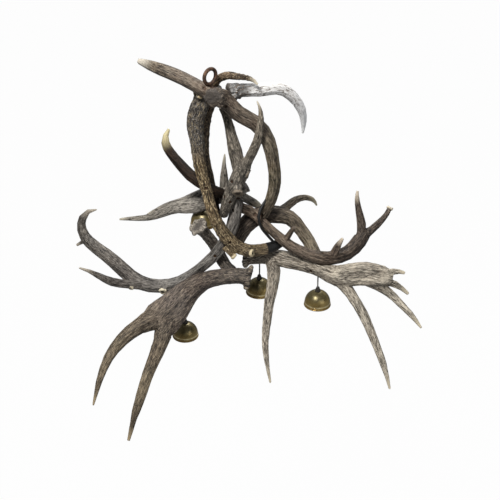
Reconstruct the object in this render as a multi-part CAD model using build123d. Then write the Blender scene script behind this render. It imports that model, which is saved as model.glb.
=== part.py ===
from build123d import *
import os
from math import cos, pi, radians, sin, sqrt, tan

# Antler chandelier: thirteen shed antlers screwed together where they cross, hung from a forged eye
# bolt, with four small brass shades on short cords. Millimetres, +Z up, the eye's centre is the
# origin, and the side shown first looks along +Y.

# ---------------------------------------------------------------- antlers
# The girth is the width that a limb's shares are shares of. A palm is a limb whose width goes
# past its slab: it stays that thick and flattens.
TOP_GIRTH = 45
UPRIGHT_GIRTH = 40
REAR_UPRIGHT_GIRTH = 30
WHITE_SPIKE_GIRTH = 35
FORKED_GIRTH = 50
DARK_GIRTH = 35
BACK_LEFT_GIRTH = 45
LEFT_GIRTH = 45
BURR_LEFT_GIRTH = 40
FRONT_LEFT_GIRTH = 110
FRONT_RIGHT_GIRTH = 65
RIGHT_GIRTH = 45
BACK_RIGHT_GIRTH = 55

ROUNDNESS = 0.88      # thickness of a limb over its width
FRONT_LEFT_SLAB = 40
FRONT_RIGHT_SLAB = 36
BACK_LEFT_SLAB = 24
BACK_RIGHT_SLAB = 38

BEAM_SIDES = 12
TINE_SIDES = 8
GROOVE = 0.045        # depth of the long grooves, as a share of the radius
BEAM_GROOVES = 5
TINE_GROOVES = 3
BURR_FLARE = 1.26     # the burr's radius over the beam's
BURR_RAG = 0.08       # how far its knobs stand in and out
BURR_HEIGHT = 13
BURR_FACE = 0.9       # width of the burr's flat face, as a share of the beam's
BURR_LIP = 2          # from that face to the flare
SEAT_DEPTH = 4        # how deep one antler is notched into the next

PITH_HOLE_R = 2.5
PITH_HOLE_DEPTH = 9

# ---------------------------------------------------------------- screws through the joints
SCREW_R = 2.4
SCREW_HEAD_R = 4.8
SCREW_HEAD_T = 3.4
SCREW_POINT = 5
SCREW_TIP_R = 0.36
SCREW_SINK = 4.5      # how deep the head lies below the antler's skin
SCREW_BITE = 0.55     # share of the second antler's radius that the point reaches past its centre
SCREW_CLEARANCE = 0.05

# ---------------------------------------------------------------- hanging eye
EYE_R = 15
EYE_WIRE_R = 5
EYE_LAND = 0.5        # how much the eye's inner bend is worn flat
EYE_TURN = 45         # degrees, how the eye's plane is turned about the shank
EYE_TO_SKIN = 25      # from the eye's centre down to the top antler's skin
EYE_LET_IN = 8        # how deep the upper washer's seat is cut below that skin
SHANK_R = 5
COLLAR_R = 8
COLLAR_T = 3
WASHER_R = 11
WASHER_T = 1.6
WASHER_CLEARANCE = 0.3
NUT_ACROSS = 17
NUT_T = 8
SHANK_TAIL = 3        # shank that shows below the nut
SHANK_CLEARANCE = 0.05
NUT_GRIP = 20         # antler left between the two washers
POCKET_CLEARANCE = 0.6
POCKET_DEPTH = 26     # how far the nut's pocket is open below its washer

# ---------------------------------------------------------------- pendants
CORD_R = 2.0
CORD_BOW = 0.03       # how far a cord bows out of straight, as a share of its length
CORD_GAP = 0.4        # round the cord where it bends in the bush and in the grip
CORD_SWING = 12       # degrees each way at the bush
SHADE_TILT = 10       # degrees each way at the cord grip
MOUTH_SPARE = 4       # degrees that each flared mouth opens past the swing
BUSH_FLANGE_R = 7
BUSH_FLANGE_T = 2
BUSH_STEM_R = 5.2
BUSH_STEM_L = 9
BUSH_LET_IN = 7       # how far the bush's seat lies above the limb's underside
BUSH_RECESS_GAP = 0.6
BEND_RISE = 6         # the cord's bend, above the bush's lower face

SHADE_R = 36.5
SHADE_WALL = 1.2
SHADE_SKIRT = 8
SHADE_FLAT_R = 9
RIM_BEAD_R = 1.9
LINE_BEAD_R = 1.0
LINE_BEAD_RISE = 5.5
NIPPLE_R = 5
NIPPLE_BORE_R = 2.6
NIPPLE_ABOVE = 6
NIPPLE_CLEARANCE = 0.06
GRIP_BASE_R = 8
GRIP_TOP_R = 4.6
GRIP_H = 13
GRIP_RIM_H = 2        # height of the straight rim at its foot
GRIP_MOUTH = 5        # depth of the grip's flared mouth, down to the cord's bend
GRIP_FLOOR = 1        # between the mouth and the nipple's bore
HOLDER_BOSS_R = 8
HOLDER_BOSS_H = 3
HOLDER_R = 12.5
HOLDER_H = 19
HOLDER_RIB_R = 13.8
HOLDER_RIB_H = 5
HOLDER_BEVEL = 2
CAP_R = 6.8
CAP_L = 13
CAP_TIP_R = 3
CAP_TIP_H = 2
CAP_TIP_STEP = 1
CAP_SHOWS = 2         # how far the cap stands out of the holder
CAP_CLEARANCE = 0.3
GLASS_R = 11
GLASS_L = 28
GLASS_WALL = 0.8
GLASS_NECK_R = 6.4
GLASS_SHOULDER_WIDTH = 0.86    # where the glass draws in to its neck, as shares of its radius
GLASS_SHOULDER_RISE = 0.78

# Each pendant: the antler and the limb it hangs from, a point near which it leaves that limb, its
# cord's length from bend to bend, and which way the cord bows.
PENDANTS = [
    ("left_antler", 0, (-89, 9, -615), 131, 1),
    ("front_right_antler", 0, (131, 8, -545), 54, 1),
    ("front_right_antler", 0, (295, -34, -555), 54, -1),
    ("back_left_antler", 1, (-22, 86, -379), 46, 1),
]

# ---------------------------------------------------------------- tape and feed cable
TAPE_T = 1.0
TAPE_FROM = 0.90      # share of the upright antler's beam where the tape starts
TAPE_TO = 0.985
CABLE_R = 4
CABLE_ROUTE = [(150, 0, -352), (139, -6, -366), (128, -17, -384), (126, -27, -404),
               (133, -27, -428), (146, -20, -450), (161, -14, -472), (171, -12, -486)]


class Limb:
    """A tapering, shallowly grooved loft along a spline through points chosen by eye.

    Each point is (x, y, z, share), where share times the girth is the limb's width there. face is
    the direction that a palm faces, and slab its greatest thickness."""

    def __init__(self, girth, points, face=None, slab=None, burr=False, beam=False):
        places = [Vector(*point[:3]) for point in points]
        self.girth = girth
        self.slab = slab
        self.burr = burr
        self.sides = BEAM_SIDES if beam else TINE_SIDES
        self.grooves = BEAM_GROOVES if beam else TINE_GROOVES
        self.path = Spline(*places) if len(places) > 2 else Line(*places)
        self.face = Vector(*face) if face else self.bend_normal(places)
        inner = [self.path.param_at_point(place) for place in places[1:-1]]
        marks = [0.0] + inner + [1.0]
        shares = [point[3] for point in points]
        self.marks = []
        for i in range(len(marks) - 1):
            self.marks.append((marks[i], shares[i]))
            self.marks.append(((marks[i] + marks[i + 1]) / 2, (shares[i] + shares[i + 1]) / 2))
        self.marks.append((marks[-1], shares[-1]))

    @staticmethod
    def bend_normal(places):
        """The normal of the plane that the limb mostly bends in."""
        total = Vector(0, 0, 0)
        for a, b, c in zip(places, places[1:], places[2:]):
            total += (b - a).cross(c - b)
        if total.length < 1:
            total = (places[-1] - places[0]).cross(Vector(0.3, 1, 0.2))
        return total.normalized()

    def frame(self, mark):
        """The place, the direction and the across direction at a mark along the limb."""
        along = self.path.tangent_at(mark)
        across = self.face.cross(along).normalized()
        return self.path.position_at(mark), along, across

    def share_at(self, mark):
        for (a, share_a), (b, share_b) in zip(self.marks, self.marks[1:]):
            if mark <= b:
                return share_a + (share_b - share_a) * (mark - a) / (b - a)
        return self.marks[-1][1]

    def halves(self, share):
        """Half the width and half the thickness for a share of the girth."""
        width = self.girth * share
        thickness = width * ROUNDNESS
        if self.slab:
            thickness = min(thickness, self.slab)
        return width / 2, thickness / 2

    def section(self, mark, share, lift=0, rag=0, swell=0):
        """One closed outline, square to the limb: an oval with shallow grooves."""
        place, along, across = self.frame(mark)
        up = along.cross(across)
        half_width, half_thickness = self.halves(share)
        corners = []
        for i in range(self.sides):
            turn = 2 * pi * i / self.sides
            groove = 1 + GROOVE * cos(self.grooves * turn + 1.0) + rag * (-1) ** i
            reach = across * ((half_width + swell) * groove * cos(turn))
            reach += up * ((half_thickness + swell) * groove * sin(turn))
            corners.append(place + along * lift + reach)
        return Face(Wire.make_polygon(corners, close=True))

    def solid(self):
        sections = []
        first_share = self.marks[0][1]
        start = 0
        if self.burr:
            # The burr flares out at once, with ragged knobs, and falls back to the beam.
            flared = first_share * BURR_FLARE
            sections.append(self.section(0, first_share * BURR_FACE))
            sections.append(self.section(0, flared, lift=BURR_LIP, rag=BURR_RAG))
            sections.append(self.section(0, flared, lift=BURR_HEIGHT / 2, rag=BURR_RAG))
            start = BURR_HEIGHT
        for mark, share in self.marks:
            if not self.burr or mark * self.path.length >= start:
                sections.append(self.section(mark, share))
        return loft(sections, ruled=True)

    def sleeve(self, mark_from, mark_to, wall):
        """A closed loft round a stretch of the limb, standing one wall proud of it."""
        steps = 3
        marks = [mark_from + (mark_to - mark_from) * i / steps for i in range(steps + 1)]
        return loft([self.section(mark, self.share_at(mark), swell=wall) for mark in marks], ruled=True)

    def row_near(self, point):
        """The sample row at the limb's nearest point to a given one."""
        steps = 400
        mark = min((i / steps for i in range(steps + 1)),
                   key=lambda mark: (self.path.position_at(mark) - point).length)
        return (*self.frame(mark), *self.halves(self.share_at(mark)))

    def samples(self):
        """Points along the limb: place, direction, across, half width and half thickness."""
        rows = []
        for (a, share_a), (b, share_b) in zip(self.marks, self.marks[1:]):
            for k in range(3):
                mark = a + (b - a) * k / 3
                rows.append((*self.frame(mark), *self.halves(share_a + (share_b - share_a) * k / 3)))
        rows.append((*self.frame(1.0), *self.halves(self.marks[-1][1])))
        return rows


def radius_toward(row, direction):
    """How far a limb's section reaches in a direction."""
    along, across, half_width, half_thickness = row[1], row[2], row[3], row[4]
    up = along.cross(across)
    return sqrt((half_width * direction.dot(across)) ** 2 + (half_thickness * direction.dot(up)) ** 2)


class Antler:
    """A beam, its tines and stubs, all one piece of bone, and where it is drawn up to."""

    def __init__(self, name, *limbs, pith_holes=()):
        self.name = name
        self.limbs = limbs
        self.pith_holes = pith_holes
        self.shift = Vector(0, 0, 0)
        self.rows = [row for limb in limbs for row in limb.samples()]

    def meet(self, other):
        """The nearest approach of two antlers: gap, both centres, direction, both radii."""
        best = None
        for mine in self.rows:
            here = mine[0] + self.shift
            for theirs in other.rows:
                there = theirs[0] + other.shift
                dx, dy, dz = there.X - here.X, there.Y - here.Y, there.Z - here.Z
                distance = sqrt(dx * dx + dy * dy + dz * dz)
                if best and distance - mine[3] - theirs[3] > best[0]:
                    continue
                if distance < 1e-6:
                    continue
                direction = Vector(dx, dy, dz) / distance
                radius = radius_toward(mine, direction)
                other_radius = radius_toward(theirs, direction)
                gap = distance - radius - other_radius
                if best is None or gap < best[0]:
                    best = (gap, here, there, direction, radius, other_radius)
        return best

    def seat_on(self, carrier):
        """Draw this antler up to its carrier until it is notched in by the seat depth."""
        gap, _, _, direction, _, _ = carrier.meet(self)
        self.shift += direction * -(gap + SEAT_DEPTH)

    def solid(self):
        body = self.limbs[0].solid()
        if len(self.limbs) > 1:
            body = body.fuse(*[limb.solid() for limb in self.limbs[1:]])
        body = largest(body).moved(Location(self.shift))
        for index in self.pith_holes:
            limb = self.limbs[index]
            end, along, _ = limb.frame(1.0)
            hole = rod(end + self.shift + along, along * -1, PITH_HOLE_R, PITH_HOLE_DEPTH)
            body = largest(body.cut(hole))
        return body


def largest(shape):
    return max(shape.solids(), key=lambda solid: solid.volume)


def rod(start, direction, radius, length):
    """A cylinder from a point along a direction."""
    plane = Plane(origin=start, z_dir=direction.normalized())
    return plane * Cylinder(radius, length, align=(Align.CENTER, Align.CENTER, Align.MIN))


def cone_rod(start, direction, bottom, top, length):
    """A cone frustum from a point along a direction."""
    plane = Plane(origin=start, z_dir=direction.normalized())
    return plane * Cone(bottom, top, length, align=(Align.CENTER, Align.CENTER, Align.MIN))


# ---------------------------------------------------------------- the antlers, one by one
TOWARD_FRONT = (0, -0.87, 0.5)


def top_antler():
    """Carries the eye: burr to the front, a heavy brow tine left, the beam curving down right."""
    beam = Limb(TOP_GIRTH, [
        (10, -45, -40, 0.96), (30, -5, -48, 1.00), (70, 5, -97, 0.98), (115, 10, -127, 0.94),
        (151, 10, -180, 0.88), (165, 5, -240, 0.82), (170, 5, -300, 0.80), (160, 3, -350, 0.76),
        (138, 5, -400, 0.70)], burr=True, beam=True)
    brow = Limb(TOP_GIRTH, [
        (15, -10, -43, 0.88), (-15, 0, -32, 0.94), (-50, 10, -15, 0.93), (-91, 28, -1, 0.92),
        (-132, 45, 9, 0.84), (-163, 67, 13, 0.67), (-190, 85, 16, 0.38)], beam=True)
    return Antler("top_antler", beam, brow)


def upright_antler():
    """Stands down the middle, then turns right and runs under the hub to a taped end."""
    beam = Limb(UPRIGHT_GIRTH, [
        (-16, 27, -58, 1.12), (-30, 20, -92, 1.23), (-42, 10, -140, 1.17), (-36, -5, -190, 0.96),
        (-31, -20, -245, 0.83), (-15, -30, -305, 0.77), (0, -40, -370, 0.81), (25, -40, -430, 0.89),
        (60, -40, -475, 0.93), (95, -40, -492, 0.91), (135, -25, -499, 0.82), (170, -10, -496, 0.71),
        (200, 8, -483, 0.56)], burr=True, beam=True)
    cut_tine = Limb(UPRIGHT_GIRTH, [
        (70, -40, -485, 0.62), (90, -50, -490, 0.55), (110, -60, -490, 0.45)])
    stub = Limb(UPRIGHT_GIRTH, [
        (35, -40, -480, 0.62), (50, -50, -495, 0.52), (60, -55, -505, 0.38)])
    return Antler("upright_antler", beam, cut_tine, stub, pith_holes=(1,))


def rear_upright_antler():
    """Runs down behind the upright one, with a small pearled brow tine beside the eye."""
    beam = Limb(REAR_UPRIGHT_GIRTH, [
        (10, 50, -45, 1.05), (0, 50, -85, 1.11), (-15, 50, -135, 1.08), (-20, 50, -185, 0.94),
        (-20, 40, -245, 0.95), (-10, 32, -300, 0.96), (0, 30, -360, 0.92), (10, 20, -410, 0.88),
        (23, 5, -453, 0.83)], burr=True, beam=True)
    brow = Limb(REAR_UPRIGHT_GIRTH, [
        (5, 50, -50, 0.79), (20, 40, -23, 0.79), (40, 35, -11, 0.83), (70, 30, -12, 0.73),
        (101, 30, -17, 0.52), (123, 25, -32, 0.20)])
    return Antler("rear_upright_antler", beam, brow)


def white_spike_antler():
    """A bleached single spike that hooks over to the right."""
    beam = Limb(WHITE_SPIKE_GIRTH, [
        (48, 34, -59, 1.11), (85, 47, -54, 1.08), (132, 60, -59, 1.06), (179, 78, -62, 1.01),
        (216, 92, -88, 0.92), (242, 105, -131, 0.76), (250, 120, -174, 0.53),
        (249, 130, -214, 0.18)],
        burr=True, beam=True)
    return Antler("white_spike_antler", beam)


def forked_antler():
    """An upside-down fork at the centre: two arms up, astride the top antler's beam."""
    beam = Limb(FORKED_GIRTH, [
        (30, -15, -400, 0.55), (40, -15, -365, 0.76), (55, -10, -325, 0.87), (71, -5, -290, 0.98),
        (84, 0, -255, 1.02)], beam=True)
    left_arm = Limb(FORKED_GIRTH, [
        (73, 0, -270, 0.77), (63, 10, -220, 0.82), (52, 20, -175, 0.62), (43, 35, -140, 0.53),
        (27, 45, -105, 0.44)])
    right_arm = Limb(FORKED_GIRTH, [
        (85, 0, -275, 0.59), (106, -6, -220, 0.55), (121, -14, -180, 0.50), (130, -18, -130, 0.41),
        (130, -22, -90, 0.26), (120, -22, -60, 0.08)])
    knob = Limb(FORKED_GIRTH, [(70, -10, -300, 0.59), (70, -40, -320, 0.56)])
    side_knob = Limb(FORKED_GIRTH, [(75, -5, -264, 0.62), (96, -8, -276, 0.56)])
    return Antler("forked_antler", beam, left_arm, right_arm, knob, side_knob)


def dark_antler():
    """A near-black tine antler that hooks up at the left."""
    beam = Limb(DARK_GIRTH, [
        (50, 22, -362, 0.86), (25, 12, -343, 0.94), (-15, -1, -315, 0.93), (-57, 20, -293, 1.02),
        (-92, 51, -268, 0.91), (-117, 81, -250, 0.80), (-130, 105, -232, 0.70),
        (-120, 125, -201, 0.24)],
        beam=True)
    return Antler("dark_antler", beam)


def back_left_antler():
    """A pale palm that reaches back and left, with its burr behind the fork."""
    beam = Limb(BACK_LEFT_GIRTH, [
        (92, 26, -320, 0.85), (60, 34, -350, 0.80), (5, 52, -385, 0.87), (-45, 73, -414, 1.00),
        (-97, 110, -438, 0.79), (-141, 145, -473, 0.64), (-187, 180, -508, 0.49),
        (-228, 215, -531, 0.39), (-282, 245, -550, 0.15)],
        face=TOWARD_FRONT, slab=BACK_LEFT_SLAB, burr=True, beam=True)
    rear_tine = Limb(BACK_LEFT_GIRTH, [
        (25, 50, -370, 0.62), (-25, 88, -380, 0.56), (-76, 115, -418, 0.50),
        (-118, 145, -446, 0.42), (-155, 175, -476, 0.33), (-193, 200, -510, 0.16)])
    up_tine = Limb(BACK_LEFT_GIRTH, [
        (38, 56, -372, 0.70), (38, 53, -332, 0.58), (38, 48, -292, 0.42), (41, 43, -240, 0.10)])
    right_tine = Limb(BACK_LEFT_GIRTH, [
        (75, 35, -345, 0.67), (95, 45, -375, 0.62), (120, 55, -395, 0.56), (140, 60, -415, 0.37)])
    return Antler("back_left_antler", beam, rear_tine, up_tine, right_tine)


def left_antler():
    """Leaves the hub, sweeps low to the left and hooks up at its far end."""
    beam = Limb(LEFT_GIRTH, [
        (70, 5, -355, 0.79), (65, 0, -385, 0.79), (55, -5, -435, 0.83), (35, -10, -480, 0.80),
        (0, -10, -530, 0.75), (-40, 0, -575, 0.72), (-95, 10, -624, 0.81), (-156, 20, -645, 0.90),
        (-213, 35, -642, 1.00), (-266, 60, -612, 0.97), (-315, 85, -578, 0.90),
        (-364, 115, -553, 0.80), (-386, 135, -522, 0.64), (-382, 145, -489, 0.52),
        (-341, 155, -468, 0.09)], beam=True)
    low_tine = Limb(LEFT_GIRTH, [
        (-197, 30, -647, 0.77), (-247, 15, -636, 0.60), (-291, 5, -622, 0.57),
        (-326, -10, -592, 0.42), (-377, -20, -560, 0.12)])
    front_stub = Limb(LEFT_GIRTH, [(-223, 37, -637, 0.52), (-238, 12, -642, 0.44)])
    low_stub = Limb(LEFT_GIRTH, [(-141, 13, -635, 0.51), (-146, -12, -645, 0.47)])
    nub = Limb(LEFT_GIRTH, [(-370, 117, -544, 0.43), (-401, 107, -560, 0.20)])
    return Antler("left_antler", beam, low_tine, front_stub, low_stub, nub, pith_holes=(3,))


def burr_left_antler():
    """A short cut beam with its burr up, between the left antler and the front left one."""
    beam = Limb(BURR_LEFT_GIRTH, [
        (-42, 5, -435, 0.94), (-15, 14, -475, 0.93), (8, 24, -520, 0.97), (25, 14, -555, 1.03),
        (55, -8, -580, 0.99)], burr=True, beam=True)
    return Antler("burr_left_antler", beam)


def front_left_antler():
    """Widens to a palm at the lower left, with two long tines down."""
    beam = Limb(FRONT_LEFT_GIRTH, [
        (105, -50, -575, 0.43), (65, -45, -570, 0.41), (20, -40, -577, 0.42),
        (-25, -28, -597, 0.47), (-73, -30, -632, 0.65), (-113, -60, -667, 0.88),
        (-144, -90, -685, 1.02), (-166, -115, -700, 0.88)],
        face=TOWARD_FRONT, slab=FRONT_LEFT_SLAB, burr=True, beam=True)
    left_tine = Limb(FRONT_LEFT_GIRTH, [
        (-163, -106, -672, 0.62), (-205, -134, -680, 0.42), (-250, -175, -699, 0.34),
        (-283, -220, -727, 0.26), (-305, -260, -771, 0.19), (-321, -300, -826, 0.05)],
        face=TOWARD_FRONT, slab=FRONT_LEFT_SLAB)
    right_tine = Limb(FRONT_LEFT_GIRTH, [
        (-133, -95, -687, 0.56), (-145, -135, -728, 0.42), (-165, -170, -768, 0.34),
        (-186, -215, -808, 0.30), (-210, -265, -871, 0.22), (-231, -310, -940, 0.08)],
        face=TOWARD_FRONT, slab=FRONT_LEFT_SLAB)
    return Antler("front_left_antler", beam, left_tine, right_tine)


def front_right_antler():
    """A long brow tine straight down, and a palm at the right with two tines and two points."""
    beam = Limb(FRONT_RIGHT_GIRTH, [
        (85, 15, -550, 0.52), (120, 10, -545, 0.54), (165, 0, -535, 0.69), (210, -15, -535, 0.77),
        (260, -25, -545, 0.65), (300, -35, -557, 0.65), (344, -50, -566, 0.93),
        (384, -65, -554, 1.02), (425, -70, -548, 1.06), (471, -80, -549, 0.88),
        (493, -80, -554, 0.59)],
        face=TOWARD_FRONT, slab=FRONT_RIGHT_SLAB, burr=True, beam=True)
    brow = Limb(FRONT_RIGHT_GIRTH, [
        (160, -5, -540, 0.60), (170, -20, -570, 0.68), (165, -55, -606, 0.60),
        (156, -85, -642, 0.53), (151, -115, -678, 0.44), (146, -150, -715, 0.36),
        (149, -185, -755, 0.26), (160, -215, -812, 0.11)])
    inner_tine = Limb(FRONT_RIGHT_GIRTH, [
        (353, -53, -574, 0.69), (385, -80, -608, 0.51), (417, -110, -653, 0.47),
        (446, -150, -708, 0.42), (473, -185, -769, 0.33), (491, -220, -830, 0.10)])
    outer_tine = Limb(FRONT_RIGHT_GIRTH, [
        (408, -60, -568, 0.52), (457, -80, -579, 0.47), (488, -93, -595, 0.39),
        (519, -108, -621, 0.34), (547, -125, -645, 0.28), (576, -150, -674, 0.10)])
    upper_point = Limb(FRONT_RIGHT_GIRTH, [
        (471, -80, -545, 0.42), (497, -80, -534, 0.30), (529, -85, -536, 0.14)])
    lower_point = Limb(FRONT_RIGHT_GIRTH, [
        (466, -82, -560, 0.46), (503, -88, -570, 0.33), (541, -96, -597, 0.15)])
    return Antler("front_right_antler", beam, brow, inner_tine, outer_tine, upper_point, lower_point)


def right_antler():
    """Crosses in front of the hub, dips to the right and forks upward."""
    beam = Limb(RIGHT_GIRTH, [
        (85, 18, -388, 0.64), (125, 15, -410, 0.64), (150, 0, -430, 0.64), (185, -10, -460, 0.65),
        (225, -20, -490, 0.71), (265, -25, -510, 0.80), (305, -25, -523, 0.87),
        (342, -10, -532, 0.88), (382, 15, -531, 0.96), (418, 40, -506, 1.01),
        (434, 50, -482, 0.85)], beam=True)
    upright_tine = Limb(RIGHT_GIRTH, [
        (418, 40, -504, 0.72), (423, 60, -463, 0.63), (415, 75, -427, 0.48), (410, 85, -397, 0.34),
        (411, 95, -375, 0.17)])
    cut_tine = Limb(RIGHT_GIRTH, [
        (423, 43, -499, 0.76), (455, 65, -482, 0.57), (483, 83, -463, 0.44),
        (507, 105, -433, 0.35)])
    broken_tine = Limb(RIGHT_GIRTH, [
        (340, -12, -526, 0.62), (352, -7, -498, 0.51), (366, -7, -471, 0.21)])
    stub = Limb(RIGHT_GIRTH, [(205, -15, -475, 0.49), (220, -20, -445, 0.40), (230, -25, -425, 0.33)])
    return Antler("right_antler", beam, upright_tine, cut_tine, broken_tine, stub, pith_holes=(2,))


def back_right_antler():
    """A broad ridged arch behind the hub with one hooked tine."""
    beam = Limb(BACK_RIGHT_GIRTH, [
        (60, 25, -515, 0.87), (75, 30, -480, 0.92), (105, 40, -445, 0.97), (140, 40, -425, 0.96),
        (180, 40, -425, 0.96), (215, 40, -435, 0.81), (245, 30, -465, 0.71), (270, 20, -500, 0.66),
        (285, 10, -530, 0.67), (295, 5, -550, 0.62)],
        face=(0, -1, 0.1), slab=BACK_RIGHT_SLAB, beam=True)
    hook = Limb(BACK_RIGHT_GIRTH, [
        (170, 40, -425, 0.66), (205, 60, -412, 0.52), (233, 85, -402, 0.43),
        (259, 105, -405, 0.37), (281, 122, -419, 0.28), (296, 135, -446, 0.10)])
    return Antler("back_right_antler", beam, hook)


# Each antler is drawn up to the one before it in this list of carriers.
MAKERS = [
    (top_antler, None),
    (upright_antler, "top_antler"),
    (rear_upright_antler, "upright_antler"),
    (white_spike_antler, "top_antler"),
    (forked_antler, "top_antler"),
    (dark_antler, "upright_antler"),
    (back_left_antler, "forked_antler"),
    (left_antler, "upright_antler"),
    (burr_left_antler, "left_antler"),
    (front_left_antler, "burr_left_antler"),
    (right_antler, "left_antler"),
    (front_right_antler, "right_antler"),
    (back_right_antler, "right_antler"),
]

# Further crossings that hold a screw, beside the one at each antler's carrier.
CROSSINGS = [
    ("top_antler", "back_right_antler"),
    ("rear_upright_antler", "back_left_antler"),
    ("forked_antler", "left_antler"),
    ("forked_antler", "dark_antler"),
    ("front_right_antler", "back_right_antler"),
]


def skin_above(antler, x, y):
    """The height of an antler's upper skin over a point of the plan."""
    highest = None
    for place, along, across, half_width, half_thickness in antler.rows:
        row = (place, along, across, half_width, half_thickness)
        radius = radius_toward(row, Vector(0, 0, 1))
        off = sqrt((place.X - x) ** 2 + (place.Y - y) ** 2)
        if off < radius:
            height = place.Z + sqrt(radius ** 2 - off ** 2)
            highest = height if highest is None else max(highest, height)
    return highest


def placed_antlers():
    """All antlers, the first hung below the eye and each next one drawn up to its carrier."""
    antlers = {}
    for maker, carrier in MAKERS:
        antler = maker()
        if carrier:
            antler.seat_on(antlers[carrier])
        else:
            antler.shift = Vector(0, 0, -EYE_TO_SKIN - skin_above(antler, 0, 0))
        antlers[antler.name] = antler
    return antlers


# ---------------------------------------------------------------- joint screws
class Screw:
    """A countersunk screw from the first antler into the second, along their nearest approach."""

    def __init__(self, first, second):
        _, near, far, direction, near_radius, far_radius = first.meet(second)
        self.first = first.name
        self.second = second.name
        self.direction = direction
        self.top = near - direction * (near_radius - SCREW_SINK)
        point = far + direction * (far_radius * SCREW_BITE)
        self.length = (point - self.top).length

    def solid(self):
        shank_length = self.length - SCREW_HEAD_T - SCREW_POINT
        head = cone_rod(self.top, self.direction, SCREW_HEAD_R, SCREW_R, SCREW_HEAD_T)
        shank = rod(self.top + self.direction * SCREW_HEAD_T, self.direction, SCREW_R, shank_length)
        point_top = self.top + self.direction * (self.length - SCREW_POINT)
        point = cone_rod(point_top, self.direction, SCREW_R, SCREW_TIP_R, SCREW_POINT)
        return head.fuse(shank, point)

    def hole(self):
        """The bore for the shank and the seat for the head."""
        seat = cone_rod(self.top, self.direction, SCREW_HEAD_R, SCREW_R, SCREW_HEAD_T)
        bore = rod(self.top, self.direction, SCREW_R + SCREW_CLEARANCE, self.length + SCREW_CLEARANCE)
        return seat.fuse(bore)

    def access(self):
        """The sunk hole that the head goes in by, open at the first antler's skin."""
        return rod(self.top, self.direction * -1, SCREW_HEAD_R, 4 * SCREW_SINK)


# ---------------------------------------------------------------- hanging eye
def eye_levels():
    """Heights down the shank: seat of the collar, of the antler, of the lower washer, of the nut, tail."""
    antler_seat = -EYE_TO_SKIN - EYE_LET_IN
    collar_seat = antler_seat + WASHER_T
    lower_washer = antler_seat - NUT_GRIP
    nut_top = lower_washer - WASHER_T
    tail = nut_top - NUT_T - SHANK_TAIL
    return collar_seat, antler_seat, lower_washer, nut_top, tail


def upright_cylinder(radius, low, high):
    return Pos(0, 0, low) * Cylinder(radius, high - low, align=(Align.CENTER, Align.CENTER, Align.MIN))


def turned_ring(ring):
    """A lying ring stood up and turned to the eye's place."""
    return Rot(0, 0, EYE_TURN) * (Rot(90, 0, 0) * ring)


def hanging_eye():
    """A forged eye with a collar and a threaded shank, all one piece."""
    collar_seat, _, _, _, tail = eye_levels()
    ring = Torus(EYE_R + EYE_WIRE_R, EYE_WIRE_R)
    ring -= Cylinder(EYE_R + EYE_LAND, 4 * EYE_WIRE_R)
    ring = turned_ring(ring)
    ring_bottom = -EYE_R - EYE_WIRE_R
    neck = upright_cylinder(SHANK_R, collar_seat, ring_bottom)
    collar = upright_cylinder(COLLAR_R, collar_seat, collar_seat + COLLAR_T)
    shank = upright_cylinder(SHANK_R, tail, collar_seat)
    return largest(ring.fuse(neck, collar, shank))


def eye_washers():
    collar_seat, antler_seat, lower_washer, nut_top, _ = eye_levels()
    washers = []
    for low, high in ((antler_seat, collar_seat), (nut_top, lower_washer)):
        disc = upright_cylinder(WASHER_R, low, high)
        washers.append(largest(disc.cut(upright_cylinder(SHANK_R + WASHER_CLEARANCE, low - 1, high + 1))))
    return washers


def eye_nut():
    _, _, _, nut_top, _ = eye_levels()
    hexagon = RegularPolygon(NUT_ACROSS / 2, 6, major_radius=False)
    nut = Pos(0, 0, nut_top - NUT_T) * extrude(hexagon, NUT_T)
    chamfer = Pos(0, 0, nut_top - NUT_T) * Cone(NUT_ACROSS * 0.5, NUT_ACROSS * 0.5 + NUT_T, NUT_T,
                                                align=(Align.CENTER, Align.CENTER, Align.MIN))
    nut = nut.intersect(chamfer)
    thread_hole = upright_cylinder(SHANK_R + SHANK_CLEARANCE, nut_top - NUT_T - 1, nut_top + 1)
    return largest(largest(nut).cut(thread_hole))


def eye_pockets():
    """What the eye, its washers and its nut cut out of the antlers."""
    _, antler_seat, lower_washer, _, _ = eye_levels()
    upper = upright_cylinder(WASHER_R + POCKET_CLEARANCE, antler_seat, 0)
    bore = upright_cylinder(SHANK_R + WASHER_CLEARANCE, lower_washer - 1, antler_seat + 1)
    lower = upright_cylinder(WASHER_R + POCKET_CLEARANCE, lower_washer - POCKET_DEPTH, lower_washer)
    relief = turned_ring(Torus(EYE_R + EYE_WIRE_R, EYE_WIRE_R + POCKET_CLEARANCE))
    return [upper, bore, lower, relief]


# ---------------------------------------------------------------- pendants
def ring_of(outline):
    """A solid of revolution about the vertical from a closed outline of (radius, height) points."""
    face = make_face(Plane.XZ * Polyline(*outline, close=True))
    return revolve(face, Axis.Z)


def mouth_radius(depth, swing):
    """The radius of a flared mouth, where the cord bends at its bottom and swings in it."""
    return CORD_R + CORD_GAP + depth * tan(radians(swing + MOUTH_SPARE))


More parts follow.
